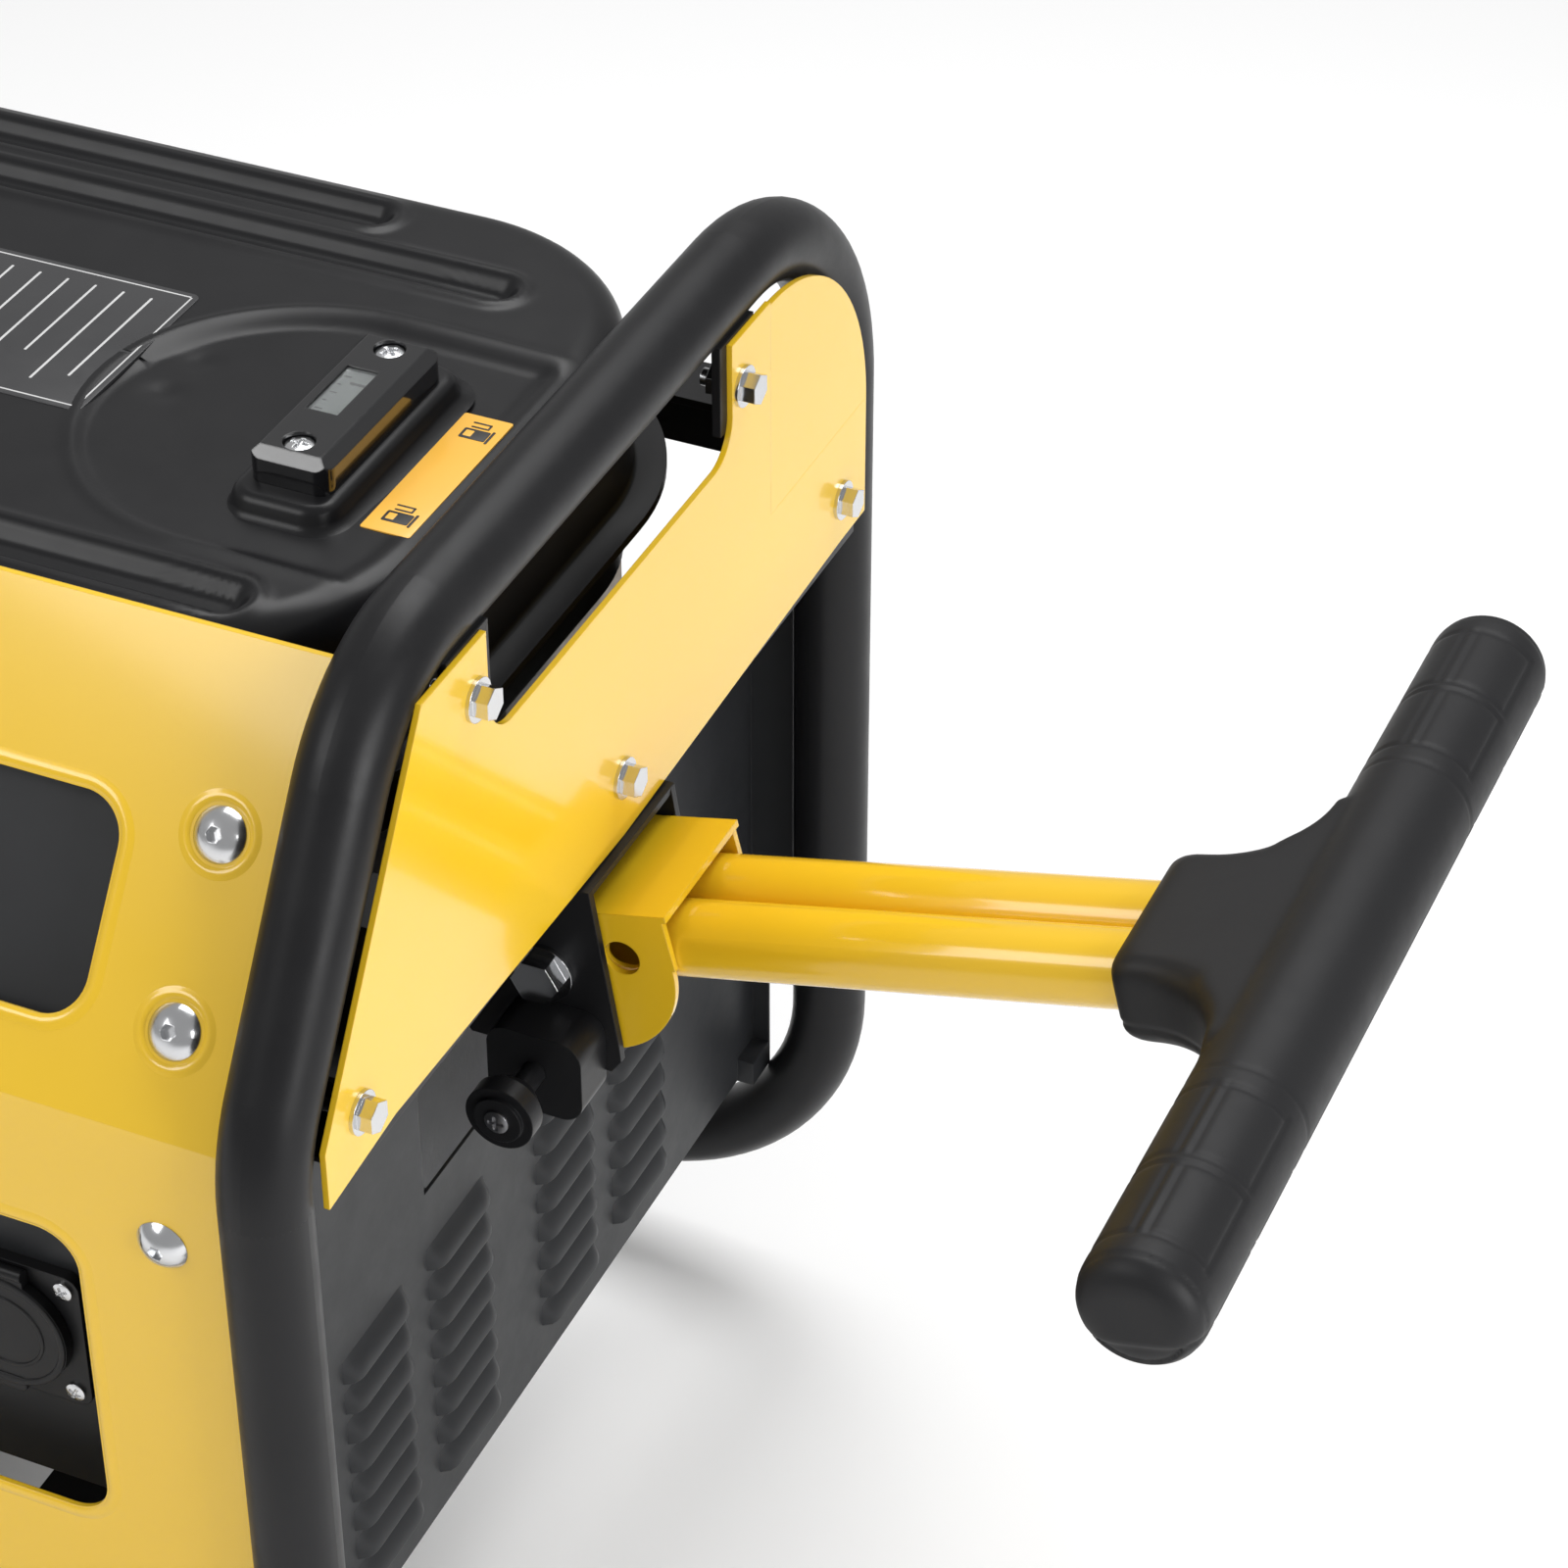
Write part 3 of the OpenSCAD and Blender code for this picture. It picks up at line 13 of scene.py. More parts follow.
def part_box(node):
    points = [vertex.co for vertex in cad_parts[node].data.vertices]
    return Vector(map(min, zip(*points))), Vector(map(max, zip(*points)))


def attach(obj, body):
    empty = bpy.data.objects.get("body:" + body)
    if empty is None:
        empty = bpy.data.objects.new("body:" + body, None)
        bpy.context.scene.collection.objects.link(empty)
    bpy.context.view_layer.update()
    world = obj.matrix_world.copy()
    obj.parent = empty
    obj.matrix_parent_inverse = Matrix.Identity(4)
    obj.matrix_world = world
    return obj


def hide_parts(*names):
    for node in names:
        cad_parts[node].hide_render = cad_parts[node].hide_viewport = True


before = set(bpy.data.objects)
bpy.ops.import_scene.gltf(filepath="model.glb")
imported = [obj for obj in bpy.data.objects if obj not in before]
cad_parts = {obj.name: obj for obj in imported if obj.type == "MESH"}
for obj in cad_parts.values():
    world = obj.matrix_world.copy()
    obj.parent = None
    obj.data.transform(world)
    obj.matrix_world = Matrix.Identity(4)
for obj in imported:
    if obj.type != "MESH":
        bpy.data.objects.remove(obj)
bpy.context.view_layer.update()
MM = 0.001

# ---------------------------------------------------------------- places taken from the CAD
PLATE_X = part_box("end_plate_handle")[1][0] / MM  # outer face of the handle-end plate
PLATE2_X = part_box("end_plate_wheel")[0][0] / MM  # outer face of the wheel-end plate
HOOP_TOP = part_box("end_hoop_handle")[1][2] / MM
TUBE_R, LEAN_H, LEAN_IN = 14, 120, 76  # the hoop's tube, and its leaning front leg above the kink
KINK_Z = HOOP_TOP - (TUBE_R + LEAN_H)
DECK_Z = KINK_Z + 107  # the tank's flat top
SEAM_Z = KINK_Z + 48  # the seam between the tank's halves
PIVOT = Vector((PLATE_X - 14, 0, KINK_Z - 60))
TILT = 13.7  # the handle rises by this many degrees at rest
ARM_LIFT = 3  # the arms' axis above the pivot
GRIP_S = 258  # from the pivot to the grip bar's axis, along the arms
GAUGE_X = PLATE_X - 88
GAUGE_Y = -7
COVER_X = PLATE_X - 48
PANEL_Y = -206
PANEL_KINK = KINK_Z - 5  # above this height the front panel leans back
SLOPE = LEAN_IN / LEAN_H / 0.9
LEAN = math.atan(SLOPE)
WINDOW_X0, WINDOW_X1, WINDOW_R = PLATE_X - 330, PLATE_X - 84, 14
WINDOW_Z, WINDOW_H = KINK_Z + 16, 55
WINDOW2_Z, WINDOW2_H = KINK_Z - 175, 119


# ---------------------------------------------------------------- materials
def new_material(name):
    mat = bpy.data.materials.new(name)
    mat.use_nodes = True
    tree = mat.node_tree
    return mat, tree, tree.nodes["Principled BSDF"]


def link(tree, a, b):
    tree.links.new(a, b)


def noise_node(tree, coord, scale, detail=3.0, rough=0.55, stretch=(1, 1, 1)):
    mapping = tree.nodes.new("ShaderNodeMapping")
    mapping.inputs["Scale"].default_value = stretch
    link(tree, coord, mapping.inputs["Vector"])
    node = tree.nodes.new("ShaderNodeTexNoise")
    node.inputs["Scale"].default_value = scale
    node.inputs["Detail"].default_value = detail
    node.inputs["Roughness"].default_value = rough
    link(tree, mapping.outputs["Vector"], node.inputs["Vector"])
    return node.outputs["Fac"]


def ranged(tree, value, lo, hi, from_lo=0.3, from_hi=0.7):
    node = tree.nodes.new("ShaderNodeMapRange")
    node.inputs["From Min"].default_value = from_lo
    node.inputs["From Max"].default_value = from_hi
    node.inputs["To Min"].default_value = lo
    node.inputs["To Max"].default_value = hi
    link(tree, value, node.inputs["Value"])
    return node.outputs["Result"]


def colour_mix(tree, factor, a, b):
    node = tree.nodes.new("ShaderNodeMix")
    node.data_type = "RGBA"
    link(tree, factor, node.inputs["Factor"])
    node.inputs[6].default_value = (*a, 1)
    node.inputs[7].default_value = (*b, 1)
    return node.outputs[2]


def surface(name, dark, light, rough, metallic=0.0, coat=0.0, coat_rough=0.1, grain=600, grain_depth=0.00004,
            grain_strength=0.25, stretch=(1, 1, 1), specular=0.5, patch=9.0, edge=0.0006, dust=0.0):
    """Noise-driven colour, roughness and bump, with softened edges. rough = (lowest, highest)."""
    mat, tree, bsdf = new_material(name)
    coord = tree.nodes.new("ShaderNodeTexCoord").outputs["Object"]
    patches = noise_node(tree, coord, patch, 5.0, 0.6)
    fine = noise_node(tree, coord, grain, 3.0, 0.6, stretch)
    streak = noise_node(tree, coord, 45.0, 6.0, 0.7)
    colour = colour_mix(tree, ranged(tree, patches, 0, 1), dark, light)
    if dust:
        geo = tree.nodes.new("ShaderNodeNewGeometry")
        split = tree.nodes.new("ShaderNodeSeparateXYZ")
        link(tree, geo.outputs["Normal"], split.inputs["Vector"])
        up = ranged(tree, split.outputs["Z"], 0, dust, 0.2, 1.0)
        times = tree.nodes.new("ShaderNodeMath")
        times.operation = "MULTIPLY"
        link(tree, up, times.inputs[0])
        link(tree, ranged(tree, streak, 0.2, 1), times.inputs[1])
        node = tree.nodes.new("ShaderNodeMix")
        node.data_type = "RGBA"
        link(tree, times.outputs["Value"], node.inputs["Factor"])
        link(tree, colour, node.inputs[6])
        node.inputs[7].default_value = (0.32, 0.31, 0.29, 1)
        colour = node.outputs[2]
    link(tree, colour, bsdf.inputs["Base Color"])
    link(tree, ranged(tree, streak, rough[0], rough[1]), bsdf.inputs["Roughness"])
    bump = tree.nodes.new("ShaderNodeBump")
    bump.inputs["Strength"].default_value = grain_strength
    bump.inputs["Distance"].default_value = grain_depth
    link(tree, fine, bump.inputs["Height"])
    if edge:
        bevel = tree.nodes.new("ShaderNodeBevel")
        bevel.samples = 4
        bevel.inputs["Radius"].default_value = edge
        link(tree, bevel.outputs["Normal"], bump.inputs["Normal"])
    link(tree, bump.outputs["Normal"], bsdf.inputs["Normal"])
    bsdf.inputs["Metallic"].default_value = metallic
    bsdf.inputs["Coat Weight"].default_value = coat
    bsdf.inputs["Coat Roughness"].default_value = coat_rough
    bsdf.inputs["Specular IOR Level"].default_value = specular
    return mat


YELLOW = surface("yellow_powder_coat", (0.8, 0.5, 0.016), (0.81, 0.51, 0.018), (0.2, 0.24), coat=0.6,
                 coat_rough=0.08, grain=500, grain_depth=0.00003, grain_strength=0.15, specular=0.4)
FRAME_BLACK = surface("black_powder_coat", (0.009, 0.009, 0.01), (0.012, 0.012, 0.013), (0.32, 0.42),
                      specular=0.2, grain=900, grain_depth=0.00005, grain_strength=0.3, dust=0.01)
TANK_BLACK = surface("tank_satin_black", (0.008, 0.008, 0.009), (0.01, 0.01, 0.011), (0.3, 0.36), coat=0.04,
                     coat_rough=0.25, grain=1200, grain_depth=0.00004, grain_strength=0.25, specular=0.22,
                     dust=0.003)
COVER_BLACK = surface("cover_satin_grey_black", (0.019, 0.02, 0.022), (0.024, 0.025, 0.027), (0.38, 0.48),
                      specular=0.22, grain=900, grain_depth=0.00004, grain_strength=0.3, dust=0.01)
GRIP_BLACK = surface("grip_moulded_rubber", (0.011, 0.011, 0.012), (0.014, 0.014, 0.015), (0.45, 0.55),
                     grain=1500, grain_depth=0.00007, grain_strength=0.35, specular=0.22, edge=0)
PLASTIC = surface("black_plastic_fine_texture", (0.008, 0.008, 0.009), (0.012, 0.012, 0.013), (0.34, 0.44),
                  specular=0.22, grain=1300, grain_depth=0.00006, grain_strength=0.35)
GLOSS_BLACK = surface("polished_black_plastic", (0.006, 0.006, 0.007), (0.009, 0.009, 0.01), (0.06, 0.14),
                      coat=0.6, coat_rough=0.05, grain=300, grain_depth=0.00002, grain_strength=0.2,
                      edge=0.0009)
RUBBER = surface("moulded_rubber", (0.014, 0.014, 0.014), (0.024, 0.024, 0.023), (0.62, 0.78), grain=1100,
                 grain_depth=0.0001, grain_strength=0.5, specular=0.3)
TYRE = surface("tyre_rubber", (0.013, 0.013, 0.013), (0.026, 0.025, 0.024), (0.68, 0.85), grain=500,
               grain_depth=0.00025, grain_strength=0.6, specular=0.3, dust=0.06)
ZINC = surface("bright_zinc", (0.62, 0.63, 0.65), (0.72, 0.72, 0.72), (0.12, 0.26), metallic=1.0, grain=700,
               grain_depth=0.00003, grain_strength=0.3, edge=0.0004)
DARK_STEEL = surface("oiled_steel", (0.2, 0.2, 0.21), (0.3, 0.3, 0.31), (0.28, 0.42), metallic=1.0, grain=500,
                     grain_depth=0.00005, grain_strength=0.4)
CAST_ALLOY = surface("cast_aluminium", (0.5, 0.51, 0.52), (0.6, 0.6, 0.61), (0.4, 0.58), metallic=1.0,
                     grain=350, grain_depth=0.00025, grain_strength=0.5)
IRON = surface("laminated_steel", (0.16, 0.16, 0.165), (0.24, 0.235, 0.23), (0.4, 0.6), metallic=1.0,
               grain=900, grain_depth=0.00015, grain_strength=0.5, stretch=(6, 0.3, 0.3))
HOT_STEEL = surface("heat_tinted_steel", (0.22, 0.17, 0.12), (0.33, 0.31, 0.3), (0.38, 0.6), metallic=1.0,
                    patch=14.0, grain=400, grain_depth=0.0001, grain_strength=0.4)
BRASS = surface("brass", (0.62, 0.42, 0.12), (0.75, 0.55, 0.2), (0.2, 0.35), metallic=1.0, grain=600)
RED = surface("red_plastic", (0.42, 0.012, 0.01), (0.52, 0.02, 0.015), (0.22, 0.36), coat=0.3, grain=900)
ORANGE = surface("orange_film", (0.95, 0.5, 0.05), (0.98, 0.53, 0.06), (0.3, 0.42), coat=0.3, grain=900,
                 grain_depth=0.00002, grain_strength=0.2, edge=0)
INK = surface("printed_ink", (0.01, 0.01, 0.01), (0.016, 0.016, 0.016), (0.35, 0.5), grain=900, edge=0)
LABEL = surface("dark_label_film", (0.022, 0.022, 0.024), (0.03, 0.03, 0.032), (0.25, 0.36), coat=0.2,
                grain=900, edge=0)
PRINT = surface("pale_print", (0.5, 0.5, 0.5), (0.62, 0.62, 0.62), (0.35, 0.5), grain=900, edge=0)
DIAL = surface("dial_card", (0.3, 0.31, 0.3), (0.4, 0.41, 0.4), (0.4, 0.55), grain=700, edge=0)


def glass_material():
    mat, tree, bsdf = new_material("gauge_window")
    coord = tree.nodes.new("ShaderNodeTexCoord").outputs["Object"]
    smear = noise_node(tree, coord, 60.0, 5.0, 0.7)
    link(tree, ranged(tree, smear, 0.03, 0.14), bsdf.inputs["Roughness"])
    bsdf.inputs["Base Color"].default_value = (0.75, 0.78, 0.78, 1)
    bsdf.inputs["Transmission Weight"].default_value = 0.9
    bsdf.inputs["Coat Weight"].default_value = 0.3
    return mat


GLASS = glass_material()

NODE_LOOKS = {
    YELLOW: ["end_plate_handle", "end_plate_wheel", "front_panel", "handle_yoke", "handle_tubes"],
    FRAME_BLACK: ["end_hoop_handle", "end_hoop_wheel", "base_rails", "cross_members", "tank_rails",
                  "stand_brackets", "handle_bracket"],
    COVER_BLACK: ["end_cover", "control_face", "control_box"],
    TANK_BLACK: ["tank_upper_shell", "tank_lower_shell"],
    ZINC: ["end_plate_bolts", "front_panel_bolts", "pivot_bolt", "axle", "filler_neck"],
    DARK_STEEL: ["crankshaft"],
    PLASTIC: ["lock_housing", "lock_knob", "fuel_cap", "fan_shroud", "recoil_housing", "recoil_grip",
              "air_filter_case", "air_filter_cover", "sockets", "socket_lid_right", "socket_lid_left",
              "rim_left", "rim_right",
              "oil_dipstick", "choke_lever", "breaker_button", "rocker_cover"],
    GRIP_BLACK: ["grip_shell_upper", "grip_shell_lower"],
    GLOSS_BLACK: ["gauge_housing"],
    RUBBER: ["foot_pads", "tank_bushes", "fuel_hose", "engine_mounts"],
    TYRE: ["tyre_left", "tyre_right"],
    CAST_ALLOY: ["crankcase", "cylinder_barrel", "carburettor", "alternator_end_bell", "fuel_tap"],
    IRON: ["alternator_stator", "flywheel"],
    HOT_STEEL: ["muffler"],
    RED: ["engine_switch", "fuel_tap_lever"],
    BRASS: ["ground_terminal"],
}
for look, names in NODE_LOOKS.items():
    for node_name in names:
        for material_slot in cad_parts[node_name].material_slots:
            material_slot.material = look


# ---------------------------------------------------------------- mesh helpers
def mesh_piece(name, verts, faces, look, body="frame", matrix=None, sharp=38):
    mesh = bpy.data.meshes.new(name)
    place = matrix or Matrix()
    mesh.from_pydata([place @ Vector(v) * MM for v in verts], [], faces)
    mesh.validate()
    tidy = bmesh.new()
    tidy.from_mesh(mesh)
    bmesh.ops.remove_doubles(tidy, verts=tidy.verts, dist=1e-6)
    bmesh.ops.recalc_face_normals(tidy, faces=tidy.faces)
    tidy.to_mesh(mesh)
    tidy.free()
    mesh.shade_smooth()
    mesh.set_sharp_from_angle(angle=math.radians(sharp))
    mesh.materials.append(look)
    obj = bpy.data.objects.new(name, mesh)
    bpy.context.scene.collection.objects.link(obj)
    if body:
        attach(obj, body)
    return obj


class Shape:
    """Vertices and faces that several small forms are gathered into."""

    def __init__(self):
        self.verts, self.faces = [], []

    def add(self, verts, faces, matrix=None):
        start = len(self.verts)
        place = matrix or Matrix()
        self.verts += [place @ Vector(v) for v in verts]
        self.faces += [tuple(start + i for i in f) for f in faces]

    def piece(self, name, look, body="frame", sharp=38, matrix=None):
        return mesh_piece(name, self.verts, self.faces, look, body, matrix, sharp)


def lathe(profile, count=48):
    """Closed surface from (radius, height) points about Z."""
    verts, faces = [], []
    turns = [2 * math.pi * i / count for i in range(count)]
    for r, z in profile:
        verts += [(r * math.cos(a), r * math.sin(a), z) for a in turns]
    for k in range(len(profile) - 1):
        for i in range(count):
            j = (i + 1) % count
            faces.append((k * count + i, k * count + j, (k + 1) * count + j, (k + 1) * count + i))
    return verts, faces


def grid_faces(rows, cols, closed=False):
    faces = []
    for r in range(rows - 1):
        for c in range(cols if closed else cols - 1):
            d = (c + 1) % cols
            faces.append((r * cols + c, r * cols + d, (r + 1) * cols + d, (r + 1) * cols + c))
    return faces


def round_rect(x0, x1, y0, y1, r, steps=8):
    points = []
    corners = ((x1 - r, y1 - r, 0), (x0 + r, y1 - r, 90), (x0 + r, y0 + r, 180), (x1 - r, y0 + r, 270))
    for cx, cy, start in corners:
        for k in range(steps + 1):
            a = math.radians(start + 90 * k / steps)
            points.append((cx + r * math.cos(a), cy + r * math.sin(a)))
    return points


def slab(outline, z0, z1, edge=0.6, steps=3):
    """Plate over a convex outline with a rounded upper edge."""
    cx = sum(p[0] for p in outline) / len(outline)
    cy = sum(p[1] for p in outline) / len(outline)
    reach_x = max(max(abs(p[0] - cx) for p in outline), 1e-6)
    reach_y = max(max(abs(p[1] - cy) for p in outline), 1e-6)
    rings = [(0, z0)]
    for k in range(steps + 1):
        a = math.pi / 2 * k / steps
        rings.append((edge * (1 - math.cos(a)), z1 - edge + edge * math.sin(a)))
    verts = []
    for inset, z in rings:
        kx, ky = 1 - inset / reach_x, 1 - inset / reach_y
        verts += [(cx + (x - cx) * kx, cy + (y - cy) * ky, z) for x, y in outline]
    n = len(outline)
    faces = grid_faces(len(rings), n, closed=True)
    faces.append(tuple(range(n))[::-1])
    faces.append(tuple((len(rings) - 1) * n + i for i in range(n)))
    return verts, faces


def plate(x0, x1, y0, y1, r, z0, z1, edge):
    """Slab over a rounded rectangle."""
    return slab(round_rect(x0, x1, y0, y1, r), z0, z1, edge)


def at(x, y, z):
    return Matrix.Translation((x, y, z))


def turned(x, y, z, axis, degrees):
    return at(x, y, z) @ Matrix.Rotation(math.radians(degrees), 4, axis)


def smooth_step(t):
    t = min(1.0, max(0.0, t))
    return t * t * (3 - 2 * t)


def cross_head(radius, height, dome, recess):
    """Screw head with a cross recess, as a polar height field."""
    verts, faces = [], []
    rings, count = 14, 64
    for k in range(rings + 1):
        r = radius * k / rings
        for i in range(count):
            a = 2 * math.pi * i / count
            x, y = r * math.cos(a), r * math.sin(a)
            z = height + dome * (1 - (r / radius) ** 2)
            arm = min(abs(x), abs(y)) / (radius * 0.13)
            reach = max(abs(x), abs(y)) / (radius * 0.58)
            if arm < 1 and reach < 1:
                z -= recess * (1 - 0.4 * reach)
            verts.append((x, y, z))
    for i in range(count):
        a = 2 * math.pi * i / count
        verts.append((radius * math.cos(a), radius * math.sin(a), 0))
    return verts, grid_faces(rings + 2, count, closed=True)


# ---------------------------------------------------------------- tank
TANK = {"x0": PLATE2_X + 36, "x1": PLATE_X - 36, "y0": PANEL_Y + 82, "y1": -PANEL_Y - 58, "r": 80}
CHANNELS = (  # y, and the two ends in x
    (96, PLATE2_X + 90, PLATE_X - 90),
    (-94, PLATE2_X + 83, PLATE_X - 83),
    (123, PLATE2_X + 150, PLATE_X - 150),
)
DENT = (PLATE_X - 161, 10)
STADIUM = {"x": PLATE_X - 109, "y": -7, "r": 63}


def channel_height(x, y):
    """Pressed channel with a raised lip on both sides."""
    z = 0.0
    for cy, x0, x1 in CHANNELS:
        dx = max(x0 - x, x - x1, 0)
        d = math.hypot(dx, y - cy)
        z -= 5.2 * (1 - smooth_step((d - 3.0) / 5.5))
        z += 1.3 * math.exp(-((d - 10.5) / 2.2) ** 2)
    return z


def stadium_height(x, y):
    """Sunk field round the fuel gauge, deeper at the back, its wall broken by a dent near the label."""
    dx = min(x - STADIUM["x"], 0)
    d = math.hypot(dx, y - STADIUM["y"])
    fade = smooth_step((PLATE_X - 40 - x) / 16)
    back = smooth_step((y - STADIUM["y"] + 45) / 90)
    width = 3 + 6 * back
    depth = 0.9 + 2.0 * back
    whole = 1 - math.exp(-(math.hypot(x - DENT[0], y - DENT[1]) / 11) ** 2)
    step = -depth * (1 - smooth_step((d - STADIUM["r"]) / width))
    lip = 0.6 * math.exp(-((d - STADIUM["r"] - width - 1.5) / 2.0) ** 2) * whole
    dent = -1.0 * math.exp(-(math.hypot(x - DENT[0] - 3, y - DENT[1] + 11) / 6) ** 2)
    dent -= 0.8 * math.exp(-(math.hypot(x - DENT[0] - 4, y - DENT[1] - 11) / 6) ** 2)
    return (step + lip) * fade + dent


def tank_ring(inset, count_long=200, count_short=60, count_corner=44):
    """Points of the tank's plan outline, moved in by inset."""
    c = max(TANK["r"], inset + 0.02)
    r = max(c - inset, 0.02)
    x0, x1, y0, y1 = (TANK[k] for k in ("x0", "x1", "y0", "y1"))
    c = min(c, (y1 - y0) / 2 - 0.05)
    points = []
    sides = (
        ((x1 - c, y1 - c), 0, count_corner), ((x0 + c, y1 - c), 90, count_corner),
        ((x0 + c, y0 + c), 180, count_corner), ((x1 - c, y0 + c), 270, count_corner),
    )
    for k, ((cx, cy), start, n) in enumerate(sides):
        for i in range(n + 1):
            a = math.radians(start + 90 * i / n)
            points.append((cx + r * math.cos(a), cy + r * math.sin(a)))
        (nx, ny), nstart, _ = sides[(k + 1) % 4]
        a = math.radians(nstart)
        bx, by = nx + r * math.cos(a), ny + r * math.sin(a)
        ax, ay = points[-1]
        m = count_long if k % 2 == 0 else count_short
        points += [(ax + (bx - ax) * i / m, ay + (by - ay) * i / m) for i in range(1, m)]
    return points


def make_tank():
    """Upper half of the tank: seam flange, wall, shoulder, then rings over the deck in to the middle."""
    shoulder, draft, ring_step = 13, 1.6, 1.7
    profile = [(-11, SEAM_Z), (-11, SEAM_Z + 1.5), (-1.5, SEAM_Z + 1.5), (-0.4, SEAM_Z + 2.2)]
    profile += [(0, SEAM_Z + 3.5), (0.4, SEAM_Z + 14), (1.0, SEAM_Z + 28), (draft, DECK_Z - shoulder)]
    for k in range(1, 11):
        a = math.pi / 2 * k / 10
        profile.append((draft + shoulder * (1 - math.cos(a)), DECK_Z - 1 - shoulder + shoulder * math.sin(a)))
    inset = profile[-1][0]
    half = (TANK["y1"] - TANK["y0"]) / 2
    while inset + ring_step < half:
        inset += ring_step
        profile.append((inset, DECK_Z - 1))
    verts = []
    for inset, z in profile:
        for x, y in tank_ring(inset):
            lift = 0.0
            if inset > 6:
                lift = (channel_height(x, y) + stadium_height(x, y)) * smooth_step((inset - 6) / 12)
                lift += 1.0 * smooth_step((inset - 12) / 60)
            verts.append((x, y, z + lift))
    count = len(tank_ring(0))
    faces = grid_faces(len(profile), count, closed=True)
    last = (len(profile) - 1) * count
    faces.append(tuple(last + i for i in range(count)))
    tank = mesh_piece("tank_pressed_top", verts, faces, TANK_BLACK, sharp=50)
    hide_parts("tank_upper_shell")


make_tank()

# raised pad and gauge
PAD_BASE = DECK_Z - 1.5
pad = Shape()
pad_x0, pad_x1, pad_y0, pad_y1, pad_r = GAUGE_X - 18, GAUGE_X + 17, GAUGE_Y - 46, GAUGE_Y + 46, 9
pad_rings = (  # how far each ring grows, and its height
    (6, PAD_BASE - 0.8), (2.5, PAD_BASE + 0.6), (1.2, PAD_BASE + 2.6), (0.4, PAD_BASE + 5),
    (-1.2, DECK_Z + 5.6), (-3, DECK_Z + 6),
)
pad_verts = []
for grow, z in pad_rings:
    ring = round_rect(pad_x0 - grow, pad_x1 + grow, pad_y0 - grow, pad_y1 + grow, pad_r + grow)
    pad_verts += [(x, y, z) for x, y in ring]
pad_n = len(pad_verts) // len(pad_rings)
pad_faces = grid_faces(len(pad_rings), pad_n, closed=True)
pad_faces.append(tuple((len(pad_rings) - 1) * pad_n + i for i in range(pad_n)))
pad.add(pad_verts, pad_faces)
pad.piece("gauge_pad", TANK_BLACK, sharp=60)

GAUGE_TOP = DECK_Z + 18
screws = Shape()
for dy in (-29, 29):
    screws.add(*cross_head(4.7, 1.2, 0.9, 1.3), turned(GAUGE_X, GAUGE_Y + dy, GAUGE_TOP - 2.5, "Z", 25 + dy))
screws.piece("gauge_screws", ZINC, sharp=25)
card = Shape()
card_lo, card_top = GAUGE_TOP - 3, GAUGE_TOP - 2.2
card.add(*plate(GAUGE_X - 7.4, GAUGE_X + 3.4, GAUGE_Y - 11.4, GAUGE_Y + 15.4, 0.6, card_lo, card_top, 0.2))
card.piece("gauge_card", DIAL)
marks = Shape()
for k in range(5):
    y = GAUGE_Y - 7.5 + 4.8 * k
    inner = GAUGE_X - 4 - (k % 2) * 1.2
    marks.add(*plate(GAUGE_X - 6.6, inner, y - 0.3, y + 0.3, 0.2, card_top, GAUGE_TOP - 2.05, 0.05))
marks.add(*plate(GAUGE_X - 3, GAUGE_X + 2.6, GAUGE_Y + 8, GAUGE_Y + 9, 0.3, card_top, GAUGE_TOP - 1.8, 0.1))
marks.piece("gauge_marks", INK)
lens = Shape()
lens_lo, lens_hi = GAUGE_TOP - 1.4, GAUGE_TOP - 0.7
lens.add(*plate(GAUGE_X - 7.45, GAUGE_X + 3.45, GAUGE_Y - 11.45, GAUGE_Y + 15.45, 0.6, lens_lo, lens_hi, 0.3))
lens.piece("gauge_lens", GLASS)

# orange strip with two pump pictograms
STRIP_Z = DECK_Z - 1.75
STRIP_LO, STRIP_TOP = STRIP_Z - 2.6, STRIP_Z + 0.35
strip_x, strip_y = PLATE_X - 56, -9
icon_places = (strip_y + 26, strip_y - 25)
strip = Shape()
strip.add(*plate(strip_x - 8.5, strip_x + 8.5, strip_y - 35, strip_y + 35, 0.8, STRIP_LO, STRIP_TOP, 0.1))
strip.piece("level_strip", ORANGE)
icons = Shape()
for y in icon_places:
    turn = turned(strip_x, y, STRIP_TOP, "Z", 90)
    icons.add(*plate(-4.4, 1.2, -4.6, 4.4, 0.6, 0, 0.12, 0.04), turn)  # pump body
    icons.add(*plate(-5.2, 2.0, -5.8, -4.9, 0.3, 0, 0.12, 0.04), turn)  # its foot
    icons.add(*plate(2.1, 2.8, -2.6, 3.0, 0.3, 0, 0.12, 0.04), turn)  # hose in three strokes
    icons.add(*plate(2.1, 5.2, -3.2, -2.5, 0.3, 0, 0.12, 0.04), turn)
    icons.add(*plate(4.5, 5.2, -3.2, 3.4, 0.3, 0, 0.12, 0.04), turn)
icons.piece("pump_pictograms", INK)
windows = Shape()
for y in icon_places:
    windows.add(*plate(-3.3, 0.1, 0.6, 3.4, 0.3, 0, 0.06, 0.02), turned(strip_x, y, STRIP_Z + 0.47, "Z", 90))
windows.piece("pictogram_windows", ORANGE)

